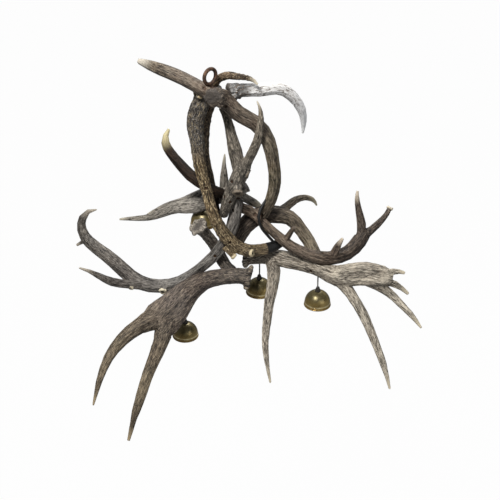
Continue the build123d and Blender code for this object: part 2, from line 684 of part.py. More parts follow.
class Pendant:
    """One shade on its cord. The cord bends at the bush and at the grip, one cord length lower."""

    def __init__(self, number, antlers, antler_name, limb_index, near, length, bow):
        self.number = number
        self.length = length
        self.bow = bow
        antler = antlers[antler_name]
        row = antler.limbs[limb_index].row_near(Vector(*near))
        slope = sqrt(1 - row[1].Z ** 2)
        centre = row[0] + antler.shift
        underside = centre.Z - radius_toward(row, Vector(0, 0, -1)) / slope
        self.seat = underside + BUSH_LET_IN
        self.bend = Vector(centre.X, centre.Y, self.seat - BUSH_FLANGE_T + BEND_RISE)
        self.low_bend = self.bend - Vector(0, 0, length)

    def at_bend(self, shape):
        return shape.moved(Location(self.bend))

    def at_low_bend(self, shape):
        return shape.moved(Location(self.low_bend))

    def bush(self):
        """A flanged bush with a flared mouth, pushed up into the antler."""
        face = -BEND_RISE
        stem_top = face + BUSH_FLANGE_T + BUSH_STEM_L
        throat = CORD_R + CORD_GAP
        return self.at_bend(ring_of([
            (mouth_radius(BEND_RISE, CORD_SWING), face), (BUSH_FLANGE_R, face),
            (BUSH_FLANGE_R, face + BUSH_FLANGE_T), (BUSH_STEM_R, face + BUSH_FLANGE_T),
            (BUSH_STEM_R, stem_top), (throat, stem_top), (throat, 0)]))

    def recess(self):
        """What the bush cuts out of the antler: its stem's hole and the open recess below."""
        face = -BEND_RISE
        flange_top = face + BUSH_FLANGE_T
        stem = Pos(0, 0, flange_top - 1) * Cylinder(
            BUSH_STEM_R, BUSH_STEM_L + 1, align=(Align.CENTER, Align.CENTER, Align.MIN))
        depth = 3 * BUSH_LET_IN
        recess = Pos(0, 0, flange_top - depth) * Cylinder(
            BUSH_FLANGE_R + BUSH_RECESS_GAP, depth, align=(Align.CENTER, Align.CENTER, Align.MIN))
        return [self.at_bend(stem), self.at_bend(recess)]

    def route(self):
        """The cord's points: the weight keeps it all but straight."""
        middle = (self.bend + self.low_bend) / 2 + Vector(self.bow * CORD_BOW * self.length, 0, 0)
        return [self.bend, middle, self.low_bend]

    def cord(self):
        return tube(self.route(), CORD_R)

    def grip(self):
        """A conical cord grip with a flared mouth above and the nipple's bore below."""
        top = GRIP_MOUTH
        bottom = top - GRIP_H
        throat = CORD_R + CORD_GAP
        bore = NIPPLE_R + NIPPLE_CLEARANCE
        return self.at_low_bend(ring_of([
            (bore, bottom), (GRIP_BASE_R, bottom), (GRIP_BASE_R, bottom + GRIP_RIM_H), (GRIP_TOP_R, top),
            (mouth_radius(GRIP_MOUTH, SHADE_TILT), top), (throat, 0), (throat, -GRIP_FLOOR),
            (bore, -GRIP_FLOOR)]))

    def crown(self):
        """The height of the shade's flat crown, under the grip."""
        return GRIP_MOUTH - GRIP_H

    @staticmethod
    def on_arc(radius, centre, degrees):
        """A point of a round profile about the axis, as (radius, height)."""
        return radius * cos(radians(degrees)), centre + radius * sin(radians(degrees))

    def shade(self):
        """A spun brass dome: flat crown, round shoulder, short skirt, a bead line and a rolled rim."""
        crown = self.crown()
        inner = SHADE_R - SHADE_WALL
        centre = crown - sqrt(SHADE_R ** 2 - SHADE_FLAT_R ** 2)
        rim = centre - SHADE_SKIRT
        inner_flat = sqrt(inner ** 2 - (crown - SHADE_WALL - centre) ** 2)
        hole = NIPPLE_R + NIPPLE_CLEARANCE
        ceiling = crown - SHADE_WALL
        outline = [
            Line((hole, crown), (SHADE_FLAT_R, crown)),
            ThreePointArc((SHADE_FLAT_R, crown), self.on_arc(SHADE_R, centre, 40), (SHADE_R, centre)),
            Line((SHADE_R, centre), (SHADE_R, rim)),
            Line((SHADE_R, rim), (inner, rim)),
            Line((inner, rim), (inner, centre)),
            ThreePointArc((inner, centre), self.on_arc(inner, centre, 40), (inner_flat, ceiling)),
            Line((inner_flat, ceiling), (hole, ceiling)),
            Line((hole, ceiling), (hole, crown)),
        ]
        dome = revolve(make_face(Plane.XZ * Curve(outline)), Axis.Z)
        rim_bead = Pos(0, 0, rim) * Torus(SHADE_R, RIM_BEAD_R)
        line_bead = Pos(0, 0, rim + LINE_BEAD_RISE) * Torus(SHADE_R, LINE_BEAD_R)
        line_bead -= Pos(0, 0, rim) * Cylinder(inner, 4 * LINE_BEAD_RISE)
        return self.at_low_bend(largest(dome.fuse(rim_bead, line_bead)))

    def holder_levels(self):
        top = self.crown() - SHADE_WALL
        body_top = top - HOLDER_BOSS_H
        mouth = body_top - HOLDER_H
        ceiling = mouth - CAP_SHOWS + CAP_L + CAP_TIP_H
        return top, body_top, mouth, ceiling

    def holder(self):
        """The lamp holder, with the nipple that draws shade and grip together."""
        top, body_top, mouth, ceiling = self.holder_levels()
        nipple_top = self.crown() + NIPPLE_ABOVE
        socket = CAP_R + CAP_CLEARANCE
        return self.at_low_bend(ring_of([
            (NIPPLE_BORE_R, nipple_top), (NIPPLE_R, nipple_top), (NIPPLE_R, top), (HOLDER_BOSS_R, top),
            (HOLDER_BOSS_R, body_top), (HOLDER_R, body_top - HOLDER_BEVEL),
            (HOLDER_R, mouth + HOLDER_RIB_H + HOLDER_BEVEL),
            (HOLDER_RIB_R, mouth + HOLDER_RIB_H), (HOLDER_RIB_R, mouth), (socket, mouth),
            (socket, ceiling), (NIPPLE_BORE_R, ceiling)]))

    def lamp_cap(self):
        _, _, mouth, ceiling = self.holder_levels()
        low = mouth - CAP_SHOWS
        shoulder = ceiling - CAP_TIP_H
        return self.at_low_bend(ring_of([
            (0, low), (CAP_R, low), (CAP_R, shoulder - CAP_TIP_H), (CAP_TIP_R + CAP_TIP_STEP, shoulder),
            (CAP_TIP_R, ceiling), (0, ceiling)]))

    def lamp_glass(self):
        """A small pear-shaped envelope, open at the neck where the cap closes it."""
        _, _, mouth, _ = self.holder_levels()
        neck = mouth - CAP_SHOWS
        centre = neck - GLASS_L + GLASS_R
        inner = GLASS_R - GLASS_WALL
        inner_neck = GLASS_NECK_R - GLASS_WALL
        shoulder_r = GLASS_R * GLASS_SHOULDER_WIDTH
        shoulder = centre + GLASS_R * GLASS_SHOULDER_RISE
        outline = [
            Line((inner_neck, neck), (GLASS_NECK_R, neck)),
            Spline((GLASS_NECK_R, neck), (shoulder_r, shoulder), (GLASS_R, centre),
                   tangents=[(0, -1), (0, -1)]),
            ThreePointArc((GLASS_R, centre), self.on_arc(GLASS_R, centre, -45), (0, centre - GLASS_R)),
            Line((0, centre - GLASS_R), (0, centre - inner)),
            ThreePointArc((0, centre - inner), self.on_arc(inner, centre, -45), (inner, centre)),
            Spline((inner, centre), (shoulder_r - GLASS_WALL, shoulder), (inner_neck, neck),
                   tangents=[(0, 1), (0, 1)]),
        ]
        return self.at_low_bend(largest(revolve(make_face(Plane.XZ * Curve(outline)), Axis.Z)))


# ---------------------------------------------------------------- cords, cable and tape
def corner_radii(points):
    """The largest arc that each corner of a cord's route leaves room for."""
    radii = []
    for a, b, c in zip(points, points[1:], points[2:]):
        turn = radians((b - a).get_angle(c - b))
        shorter = min((b - a).length, (c - b).length)
        radii.append(0.45 * shorter / tan(turn / 2))
    return radii


def tube(points, radius):
    """A round cord: straight runs joined by tangent arcs."""
    radii = corner_radii(points)
    path = FilletPolyline(*points, radius=radii)
    start = Plane(origin=path @ 0, z_dir=path % 0)
    print("cord", "length %.1f mm, arcs" % path.length, [round(value) for value in radii])
    return sweep(start * Circle(radius), path)


def boxes_meet(a, b):
    first, second = a.bounding_box(), b.bounding_box()
    starts = max(first.min.X, second.min.X), max(first.min.Y, second.min.Y), max(first.min.Z, second.min.Z)
    ends = min(first.max.X, second.max.X), min(first.max.Y, second.max.Y), min(first.max.Z, second.max.Z)
    return all(start < end for start, end in zip(starts, ends))


def cut_by(body, tools):
    """Cut away every tool that can reach the body, and keep the one solid that is left."""
    near = [tool for tool in tools if boxes_meet(body, tool)]
    return largest(body.cut(*near)) if near else body


def write(name, *solids):
    shape = solids[0] if len(solids) == 1 else Compound(children=list(solids))
    shape.label = name
    export_step(shape, os.path.join("parts", name + ".step"))


def main():
    os.makedirs("parts", exist_ok=True)
    antlers = placed_antlers()

    screws = [Screw(antlers[carrier], antlers[maker.__name__]) for maker, carrier in MAKERS if carrier]
    screws += [Screw(antlers[first], antlers[second]) for first, second in CROSSINGS]
    pendants = [Pendant(i + 1, antlers, *row) for i, row in enumerate(PENDANTS)]
    cable = tube([Vector(*point) for point in CABLE_ROUTE], CABLE_R)

    # Bone: each antler is notched round the ones before it, then drilled.
    coped = []
    shared_tools = eye_pockets() + [tool for pendant in pendants for tool in pendant.recess()]
    for name, antler in antlers.items():
        whole = antler.solid()
        holes = [screw.hole() for screw in screws]
        holes += [screw.access() for screw in screws if name == screw.first]
        finished = cut_by(cut_by(whole, coped), shared_tools + holes + [cable])
        coped.append(whole)
        write(name, finished)
        if name == "upright_antler":
            sleeve = antler.limbs[0].sleeve(TAPE_FROM, TAPE_TO, TAPE_T).moved(Location(antler.shift))
            write("tape_wrap", cut_by(largest(sleeve), [whole, cable]))

    write("hanging_eye", hanging_eye())
    write("eye_washers", *eye_washers())
    write("eye_nut", eye_nut())
    write("joint_screws", *[largest(screw.solid()) for screw in screws])
    write("feed_cable", cable)
    for pendant in pendants:
        number = str(pendant.number)
        write("cord_bush_" + number, pendant.bush())
        write("pendant_cord_" + number, pendant.cord())
        write("cord_grip_" + number, pendant.grip())
        write("shade_" + number, pendant.shade())
        write("lamp_holder_" + number, pendant.holder())
        write("lamp_cap_" + number, pendant.lamp_cap())
        write("lamp_glass_" + number, pendant.lamp_glass())
        print("pendant", number, "bend", pendant.bend, "low bend", pendant.low_bend)


if __name__ == "__main__":
    main()
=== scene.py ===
import bmesh
import bpy
import math
import numpy as np
from itertools import product
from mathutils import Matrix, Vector


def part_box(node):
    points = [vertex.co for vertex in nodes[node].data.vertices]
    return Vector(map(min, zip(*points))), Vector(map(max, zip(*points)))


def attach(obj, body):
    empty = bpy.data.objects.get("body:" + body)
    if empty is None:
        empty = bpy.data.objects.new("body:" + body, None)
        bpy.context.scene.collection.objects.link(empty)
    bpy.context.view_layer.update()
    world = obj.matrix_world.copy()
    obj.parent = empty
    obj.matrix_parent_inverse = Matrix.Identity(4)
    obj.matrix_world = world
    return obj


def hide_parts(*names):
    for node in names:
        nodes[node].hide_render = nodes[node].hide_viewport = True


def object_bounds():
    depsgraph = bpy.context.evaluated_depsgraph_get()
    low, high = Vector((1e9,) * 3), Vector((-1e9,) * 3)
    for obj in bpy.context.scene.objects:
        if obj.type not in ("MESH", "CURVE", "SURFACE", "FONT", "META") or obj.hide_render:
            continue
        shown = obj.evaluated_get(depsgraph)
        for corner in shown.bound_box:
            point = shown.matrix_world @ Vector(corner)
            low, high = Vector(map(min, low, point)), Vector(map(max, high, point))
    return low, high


# An antler chandelier: thirteen weathered antlers, a rusty forged eye and four small brass domes on
# short flexes. Metres, +Z up, the eye's centre at the origin, seen from the front along +Y.
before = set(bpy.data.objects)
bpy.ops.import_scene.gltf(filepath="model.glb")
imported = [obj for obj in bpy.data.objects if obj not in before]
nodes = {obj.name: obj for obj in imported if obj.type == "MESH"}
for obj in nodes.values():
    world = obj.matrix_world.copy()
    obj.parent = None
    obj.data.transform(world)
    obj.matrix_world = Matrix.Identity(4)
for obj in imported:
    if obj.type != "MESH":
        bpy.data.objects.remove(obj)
packed_low, packed_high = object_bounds()

# ---------------------------------------------------------------- camera
# Fitted to the photo: straight ahead, looking down on the antlers.
TARGET = Vector((0.10274, 0.0, -0.51456))
DISTANCE = 3.111
ELEVATION = math.radians(30)

camera_data = bpy.data.cameras.new("camera")
camera_data.lens = 80
camera_data.sensor_width = 36
camera_data.clip_end = 50
camera = bpy.data.objects.new("camera", camera_data)
bpy.context.scene.collection.objects.link(camera)
back = Vector((0, -math.cos(ELEVATION), math.sin(ELEVATION)))
camera.location = TARGET + back * DISTANCE
camera.rotation_mode = "QUATERNION"
camera.rotation_quaternion = (-back).to_track_quat("-Z", "Y")
bpy.context.scene.camera = camera


# ---------------------------------------------------------------- node helpers
MIX_SHARE, MIX_FIRST, MIX_SECOND, MIX_RESULT = 0, 6, 7, 2     # a Mix node's colour sockets


def linear(red, green, blue):
    """A colour given on a 0 to 255 scale, as the shader wants it."""
    levels = [level / 255 for level in (red, green, blue)]
    return (*[((c + 0.055) / 1.055) ** 2.4 if c > 0.04 else c / 12.92 for c in levels], 1.0)


class Shader:
    """A new material with its nodes, and short ways to add to them."""

    def __init__(self, name):
        self.material = bpy.data.materials.new(name)
        self.material.use_nodes = True
        self.tree = self.material.node_tree
        self.surface = self.tree.nodes["Principled BSDF"]

    def node(self, kind, **values):
        made = self.tree.nodes.new(kind)
        for key, value in values.items():
            setattr(made, key, value)
        return made

    def join(self, source, target):
        self.tree.links.new(source, target)

    def feed(self, value, target):
        """Set a socket to a constant, or join it to another node's output."""
        if isinstance(value, (tuple, float, int)):
            target.default_value = value
        else:
            self.join(value, target)

    def mapped(self, source, scale, shift=(0, 0, 0)):
        mapping = self.node("ShaderNodeMapping")
        mapping.inputs["Location"].default_value = shift
        mapping.inputs["Scale"].default_value = scale
        self.join(source, mapping.inputs["Vector"])
        return mapping.outputs["Vector"]

    def coordinates(self, shift=(0, 0, 0), scale=(1, 1, 1)):
        return self.mapped(self.node("ShaderNodeTexCoord").outputs["Object"], scale, shift)

    def attribute(self, name):
        return self.node("ShaderNodeAttribute", attribute_name=name).outputs["Fac"]

    def grain(self, across, along):
        """Coordinates that follow the bone, scaled to so many cells a metre across and along it."""
        stored = self.node("ShaderNodeAttribute", attribute_name="grain")
        return self.mapped(stored.outputs["Vector"], (across, across, along))

    def noise(self, vector, scale, detail=4, roughness=0.55):
        made = self.node("ShaderNodeTexNoise")
        made.inputs["Scale"].default_value = scale
        made.inputs["Detail"].default_value = detail
        made.inputs["Roughness"].default_value = roughness
        self.join(vector, made.inputs["Vector"])
        return made.outputs["Fac"]

    def ramp(self, value, *stops):
        """A colour ramp: stops are (position, colour), or (position, grey level)."""
        made = self.node("ShaderNodeValToRGB")
        elements = made.color_ramp.elements
        while len(elements) < len(stops):
            elements.new(0.5)
        for element, (position, colour) in zip(elements, stops):
            element.position = position
            element.color = colour if isinstance(colour, tuple) else (colour, colour, colour, 1)
        self.join(value, made.inputs["Fac"])
        return made.outputs["Color"]

    def mix(self, share, first, second, blend="MIX"):
        made = self.node("ShaderNodeMix", data_type="RGBA", blend_type=blend)
        for value, key in ((share, MIX_SHARE), (first, MIX_FIRST), (second, MIX_SECOND)):
            self.feed(value, made.inputs[key])
        return made.outputs[MIX_RESULT]

    def maths(self, operation, first, second):
        made = self.node("ShaderNodeMath", operation=operation)
        self.feed(first, made.inputs[0])
        self.feed(second, made.inputs[1])
        return made.outputs[0]

    def plus(self, first, second):
        return self.maths("ADD", first, second)

    def times(self, first, second):
        return self.maths("MULTIPLY", first, second)

    def bump(self, height, strength, distance, under=None):
        made = self.node("ShaderNodeBump")
        made.inputs["Strength"].default_value = strength
        made.inputs["Distance"].default_value = distance
        self.join(height, made.inputs["Height"])
        if under:
            self.join(under, made.inputs["Normal"])
        return made.outputs["Normal"]

    def finish(self, colour, roughness, normal=None, **fixed):
        """Wire up the surface. Fixed inputs are named with underscores for their spaces."""
        self.join(colour, self.surface.inputs["Base Color"])
        self.feed(roughness, self.surface.inputs["Roughness"])
        if normal:
            self.join(normal, self.surface.inputs["Normal"])
        for key, value in fixed.items():
            self.surface.inputs[key.replace("_", " ")].default_value = value
        return self.material


def mottled(name, noise, colours, roughness, bump=None, stretch=(1, 1, 1), **fixed):
    """A material whose colour, roughness and fine bump all follow one noise.

    The noise is (scale, detail, roughness) and the bump (strength, distance).
    """
    shader = Shader(name)
    level = shader.noise(shader.coordinates(scale=stretch), *noise)
    colour = shader.ramp(level, *[(stop, linear(*tone)) for stop, tone in colours])
    normal = shader.bump(level, *bump) if bump else None
    return shader.finish(colour, shader.ramp(level, *roughness), normal, **fixed)


# ---------------------------------------------------------------- flexes and the feed cable
def pale_flex():
    shader = Shader("pale_flex")
    soiled = shader.noise(shader.coordinates(), 160, 3)
    colour = shader.ramp(soiled, (0.3, linear(84, 82, 80)), (0.7, linear(140, 138, 134)))
    twist = shader.noise(shader.coordinates(scale=(1, 1, 0.4)), 900, 2)
    return shader.finish(colour, 0.55, shader.bump(twist, 0.4, 0.0003))


def black_cable():
    return mottled("black_cable", (130, 5), [(0.35, (5, 5, 5)), (0.72, (24, 23, 22))],
                   [(0.3, 0.42), (0.7, 0.62)], (0.2, 0.0004))


def flex(name, route, radius, material):
    """A smooth round flex whose control points are the route's."""
    curve = bpy.data.curves.new(name, "CURVE")
    curve.dimensions = "3D"
    curve.bevel_depth = radius
    curve.bevel_resolution = 5
    curve.resolution_u = 16
    curve.use_fill_caps = True
    spline = curve.splines.new("NURBS")
    spline.points.add(len(route) - 1)
    for point, place in zip(spline.points, route):
        point.co = (*place, 1)
    spline.order_u = 3
    spline.use_endpoint_u = True
    curve.materials.append(material)
    made = bpy.data.objects.new(name, curve)
    bpy.context.scene.collection.objects.link(made)
    return made


FLEX_RADIUS = 0.002
FEED_RADIUS = 0.004
FLEX_ROUTES = [
    [(-0.086557, 0.007711, -0.625263), (-0.082627, 0.007711, -0.690763), (-0.086557, 0.007711, -0.756263)],
    [(0.129115, 0.007991, -0.552089), (0.130735, 0.007991, -0.579089), (0.129115, 0.007991, -0.606089)],
    [(0.294145, -0.033833, -0.566901), (0.292525, -0.033833, -0.593901), (0.294145, -0.033833, -0.620901)],
    [(-0.028522, 0.079003, -0.375314), (-0.027142, 0.079003, -0.398314), (-0.028522, 0.079003, -0.421314)],
]
FLEX_LENGTHS = [0.1312, 0.0541, 0.0541, 0.0461]
FEED_ROUTE = [
    (0.150, 0.000, -0.352), (0.139, -0.006, -0.366), (0.128, -0.017, -0.384), (0.126, -0.027, -0.404),
    (0.133, -0.027, -0.428), (0.146, -0.020, -0.450), (0.161, -0.014, -0.472), (0.171, -0.012, -0.486)]

flex_finish = pale_flex()
for number, (route, length) in enumerate(zip(FLEX_ROUTES, FLEX_LENGTHS), 1):
    hanging = flex("pendant_flex_%d" % number, route, FLEX_RADIUS, flex_finish)
    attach(hanging, "cord_%d" % number)
    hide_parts("pendant_cord_%d" % number)

feed = flex("feed_flex", FEED_ROUTE, FEED_RADIUS, black_cable())
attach(feed, "frame")
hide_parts("feed_cable")


# ---------------------------------------------------------------- antlers: where each limb runs
# For each antler its girth and its limbs, in millimetres: x, y, z and the share of the girth there.
# The first limb starts at the antler's base. A limb whose name ends in cut is sawn off square.
ANTLERS = {
    "top_antler": (45, {
        "beam": [(10, -45, -46, 0.96), (30, -5, -54, 1.00), (70, 5, -103, 0.98), (115, 10, -133, 0.94),
                 (151, 10, -186, 0.88), (165, 5, -246, 0.82), (170, 5, -306, 0.80), (160, 3, -356, 0.76),
                 (138, 5, -406, 0.70)],
        "brow": [(15, -10, -49, 0.88), (-15, 0, -38, 0.94), (-50, 10, -21, 0.93), (-91, 28, -7, 0.92),
                 (-132, 45, 3, 0.84), (-163, 67, 7, 0.67), (-190, 85, 10, 0.38)]}),
    "upright_antler": (40, {
        "beam": [(-16, 29, -59, 1.12), (-30, 22, -93, 1.23), (-42, 12, -141, 1.17), (-36, -3, -191, 0.96),
                 (-31, -18, -246, 0.83), (-15, -28, -306, 0.77), (0, -38, -371, 0.81), (25, -38, -431, 0.89),
                 (60, -38, -476, 0.93), (95, -38, -493, 0.91), (135, -23, -500, 0.82), (170, -8, -497, 0.71),
                 (200, 10, -484, 0.56)],
        "tine_cut": [(70, -38, -486, 0.62), (90, -48, -491, 0.55), (110, -58, -491, 0.45)],
        "stub_cut": [(35, -38, -481, 0.62), (50, -48, -496, 0.52), (60, -53, -506, 0.38)]}),
    "rear_upright_antler": (30, {
        "beam": [(10, 50, -45, 1.05), (0, 50, -85, 1.11), (-15, 50, -135, 1.08), (-20, 50, -185, 0.94),
                 (-20, 40, -245, 0.95), (-10, 32, -300, 0.96), (0, 30, -360, 0.92), (10, 20, -410, 0.88),
                 (23, 5, -453, 0.83)],
        "brow": [(5, 50, -50, 0.79), (20, 40, -23, 0.79), (40, 35, -11, 0.83), (70, 30, -12, 0.73),
                 (101, 30, -17, 0.52), (123, 25, -32, 0.20)]}),
    "white_spike_antler": (35, {
        "beam": [(48, 31, -60, 1.11), (85, 44, -55, 1.08), (132, 57, -60, 1.06), (179, 75, -63, 1.01),
                 (216, 89, -89, 0.92), (242, 102, -132, 0.76), (250, 117, -175, 0.53),
                 (249, 127, -215, 0.18)]}),
    "forked_antler": (50, {
        "beam": [(30, -12, -399, 0.55), (40, -12, -364, 0.76), (55, -7, -324, 0.87), (71, -2, -289, 0.98),
                 (84, 3, -254, 1.02)],
        "left_arm": [(73, 3, -269, 0.77), (63, 13, -219, 0.82), (52, 23, -174, 0.62), (43, 38, -139, 0.53),
                     (27, 48, -104, 0.44)],
        "right_arm": [(85, 3, -274, 0.59), (106, -3, -219, 0.55), (121, -11, -179, 0.50),
                      (130, -15, -129, 0.41), (130, -19, -89, 0.26), (120, -19, -59, 0.08)],
        "knob_cut": [(70, -7, -299, 0.59), (70, -37, -319, 0.56)],
        "side_knob_cut": [(75, -2, -263, 0.62), (96, -5, -275, 0.56)]}),
    "dark_antler": (35, {
        "beam": [(50, 19, -361, 0.86), (25, 9, -342, 0.94), (-15, -4, -314, 0.93), (-57, 17, -292, 1.02),
                 (-92, 48, -267, 0.91), (-117, 78, -249, 0.80), (-130, 102, -231, 0.70),
                 (-120, 122, -200, 0.24)]}),
    "back_left_antler": (45, {
        "beam": [(86, 19, -315, 0.85), (54, 27, -345, 0.80), (-1, 45, -380, 0.87), (-51, 66, -409, 1.00),
                 (-103, 103, -433, 0.79), (-147, 138, -468, 0.64), (-193, 173, -503, 0.49),
                 (-234, 208, -526, 0.39), (-288, 238, -545, 0.15)],
        "rear_tine": [(19, 43, -365, 0.62), (-31, 81, -375, 0.56), (-82, 108, -413, 0.50),
                      (-124, 138, -441, 0.42), (-161, 168, -471, 0.33), (-199, 193, -505, 0.16)],
        "up_tine": [(32, 49, -367, 0.70), (32, 46, -327, 0.58), (32, 41, -287, 0.42), (35, 36, -235, 0.10)],
        "right_tine": [(69, 28, -340, 0.67), (89, 38, -370, 0.62), (114, 48, -390, 0.56),
                       (134, 53, -410, 0.37)]}),
    "left_antler": (45, {
        "beam": [(70, 4, -355, 0.79), (65, -1, -385, 0.79), (55, -6, -435, 0.83), (35, -11, -480, 0.80),
                 (0, -11, -530, 0.75), (-40, -1, -575, 0.72), (-95, 9, -624, 0.81), (-156, 19, -645, 0.90),
                 (-213, 34, -642, 1.00), (-266, 59, -612, 0.97), (-315, 84, -578, 0.90),
                 (-364, 114, -553, 0.80), (-386, 134, -522, 0.64), (-382, 144, -489, 0.52),
                 (-341, 154, -468, 0.09)],
        "low_tine": [(-197, 29, -647, 0.77), (-247, 14, -636, 0.60), (-291, 4, -622, 0.57),
                     (-326, -11, -592, 0.42), (-377, -21, -560, 0.12)],
        "front_stub_cut": [(-223, 36, -637, 0.52), (-238, 11, -642, 0.44)],
        "low_stub_cut": [(-141, 12, -635, 0.51), (-146, -13, -645, 0.47)],
        "nub": [(-370, 116, -544, 0.43), (-401, 106, -560, 0.20)]}),
    "burr_left_antler": (40, {
        "beam": [(-43, 0, -434, 0.94), (-16, 9, -474, 0.93), (7, 19, -519, 0.97), (24, 9, -554, 1.03),
                 (54, -13, -579, 0.99)]}),
    "front_left_antler": (110, {
        "beam": [(105, -52, -574, 0.43), (65, -47, -569, 0.41), (20, -42, -576, 0.42),
                 (-25, -30, -596, 0.47), (-73, -32, -631, 0.65), (-113, -62, -666, 0.88),
                 (-144, -92, -684, 1.02), (-166, -117, -699, 0.88)],
        "left_tine": [(-163, -108, -671, 0.62), (-205, -136, -679, 0.42), (-250, -177, -698, 0.34),
                      (-283, -222, -726, 0.26), (-305, -262, -770, 0.19), (-321, -302, -825, 0.05)],
        "right_tine": [(-133, -97, -686, 0.56), (-145, -137, -727, 0.42), (-165, -172, -767, 0.34),
                       (-186, -217, -807, 0.30), (-210, -267, -870, 0.22), (-231, -312, -939, 0.08)]}),
    "front_right_antler": (65, {
        "beam": [(84, 15, -552, 0.52), (119, 10, -547, 0.54), (164, 0, -537, 0.69), (209, -15, -537, 0.77),
                 (259, -25, -547, 0.65), (299, -35, -559, 0.65), (343, -50, -568, 0.93),
                 (383, -65, -556, 1.02), (424, -70, -550, 1.06), (470, -80, -551, 0.88),
                 (492, -80, -556, 0.59)],
        "brow": [(159, -5, -542, 0.60), (169, -20, -572, 0.68), (164, -55, -608, 0.60),
                 (155, -85, -644, 0.53), (150, -115, -680, 0.44), (145, -150, -717, 0.36),
                 (148, -185, -757, 0.26), (159, -215, -814, 0.11)],
        "inner_tine": [(352, -53, -576, 0.69), (384, -80, -610, 0.51), (416, -110, -655, 0.47),
                       (445, -150, -710, 0.42), (472, -185, -771, 0.33), (490, -220, -832, 0.10)],
        "outer_tine": [(407, -60, -570, 0.52), (456, -80, -581, 0.47), (487, -93, -597, 0.39),
                       (518, -108, -623, 0.34), (546, -125, -647, 0.28), (575, -150, -676, 0.10)],
        "upper_point": [(470, -80, -547, 0.42), (496, -80, -536, 0.30), (528, -85, -538, 0.14)],
        "lower_point": [(465, -82, -562, 0.46), (502, -88, -572, 0.33), (540, -96, -599, 0.15)]}),
    "right_antler": (45, {
        "beam": [(79, 12, -387, 0.64), (119, 9, -409, 0.64), (144, -6, -429, 0.64), (179, -16, -459, 0.65),
                 (219, -26, -489, 0.71), (259, -31, -509, 0.80), (299, -31, -522, 0.87),
                 (336, -16, -531, 0.88), (376, 9, -530, 0.96), (412, 34, -505, 1.01),
                 (428, 44, -481, 0.85)],
        "upright_tine": [(412, 34, -503, 0.72), (417, 54, -462, 0.63), (409, 69, -426, 0.48),
                         (404, 79, -396, 0.34), (405, 89, -374, 0.17)],
        "tine_cut": [(417, 37, -498, 0.76), (449, 59, -481, 0.57), (477, 77, -462, 0.44),
                     (501, 99, -432, 0.35)],
        "broken_tine": [(334, -18, -525, 0.62), (346, -13, -497, 0.51), (360, -13, -470, 0.21)],
        "stub": [(199, -21, -474, 0.49), (214, -26, -444, 0.40), (224, -31, -424, 0.33)]}),
    "back_right_antler": (55, {
        "beam": [(58, 18, -510, 0.87), (73, 23, -475, 0.92), (103, 33, -440, 0.97), (138, 33, -420, 0.96),
                 (178, 33, -420, 0.96), (213, 33, -430, 0.81), (243, 23, -460, 0.71), (268, 13, -495, 0.66),
                 (283, 3, -525, 0.67), (293, -2, -545, 0.62)],
        "hook": [(168, 33, -420, 0.66), (203, 53, -407, 0.52), (231, 78, -397, 0.43),
                 (257, 98, -400, 0.37), (279, 115, -414, 0.28), (294, 128, -441, 0.10)]}),
}
BURRED = {"top_antler", "upright_antler", "rear_upright_antler", "white_spike_antler", "back_left_antler",
          "burr_left_antler", "front_left_antler", "front_right_antler"}

RUN_STEPS = 6              # samples from one of a limb's points to the next
THINNEST = 0.002           # the least radius of a limb, in metres
MM = 1000                  # in a metre
POINTED_UNDER = 18         # a limb that ends narrower than this, in millimetres, has a worn point
LIMB_SHIFT = 0.37          # metres sideways from one limb's pattern to the next, so that none repeats
ANY_SIDE = (0.31, 0.87, 0.38)      # lies along no limb's start
BLOCK = 20000              # vertices measured at once, to spare memory


def smooth_run(points):
    """Samples on a smooth curve through a limb's points: place and width."""
    rows = np.array(points, float)
    rows = np.vstack([2 * rows[0] - rows[1], rows, 2 * rows[-1] - rows[-2]])
    t = np.linspace(0, 1, RUN_STEPS, endpoint=False)[:, None]
    runs = []
    for a, b, c, d in zip(rows, rows[1:], rows[2:], rows[3:]):
        runs.append(0.5 * (2 * b + (c - a) * t + (2 * a - 5 * b + 4 * c - d) * t ** 2
                           + (3 * b - a - 3 * c + d) * t ** 3))
    runs.append(rows[-2:-1])
    return np.vstack(runs)


def side_directions(along):
    """A sideways direction at each sample, which turns as little as it can on the way."""
    sides = np.empty_like(along)
    side = np.cross(along[0], ANY_SIDE)
    for i, forward in enumerate(along):
        side = side - forward * np.dot(side, forward)
        side /= np.linalg.norm(side)
        sides[i] = side
    return sides


def nearest_samples(places, centres, radii):
    """For each place the nearest sample, in that sample's own radii, and its distance."""
    near = np.empty(len(places), int)
    distance = np.empty(len(places))
    for first in range(0, len(places), BLOCK):
        block = slice(first, first + BLOCK)
        gap = np.linalg.norm(places[block, None] - centres, axis=2)
        near[block] = np.argmin(gap / radii, axis=1)
        distance[block] = gap[np.arange(len(gap)), near[block]]
    return near, distance


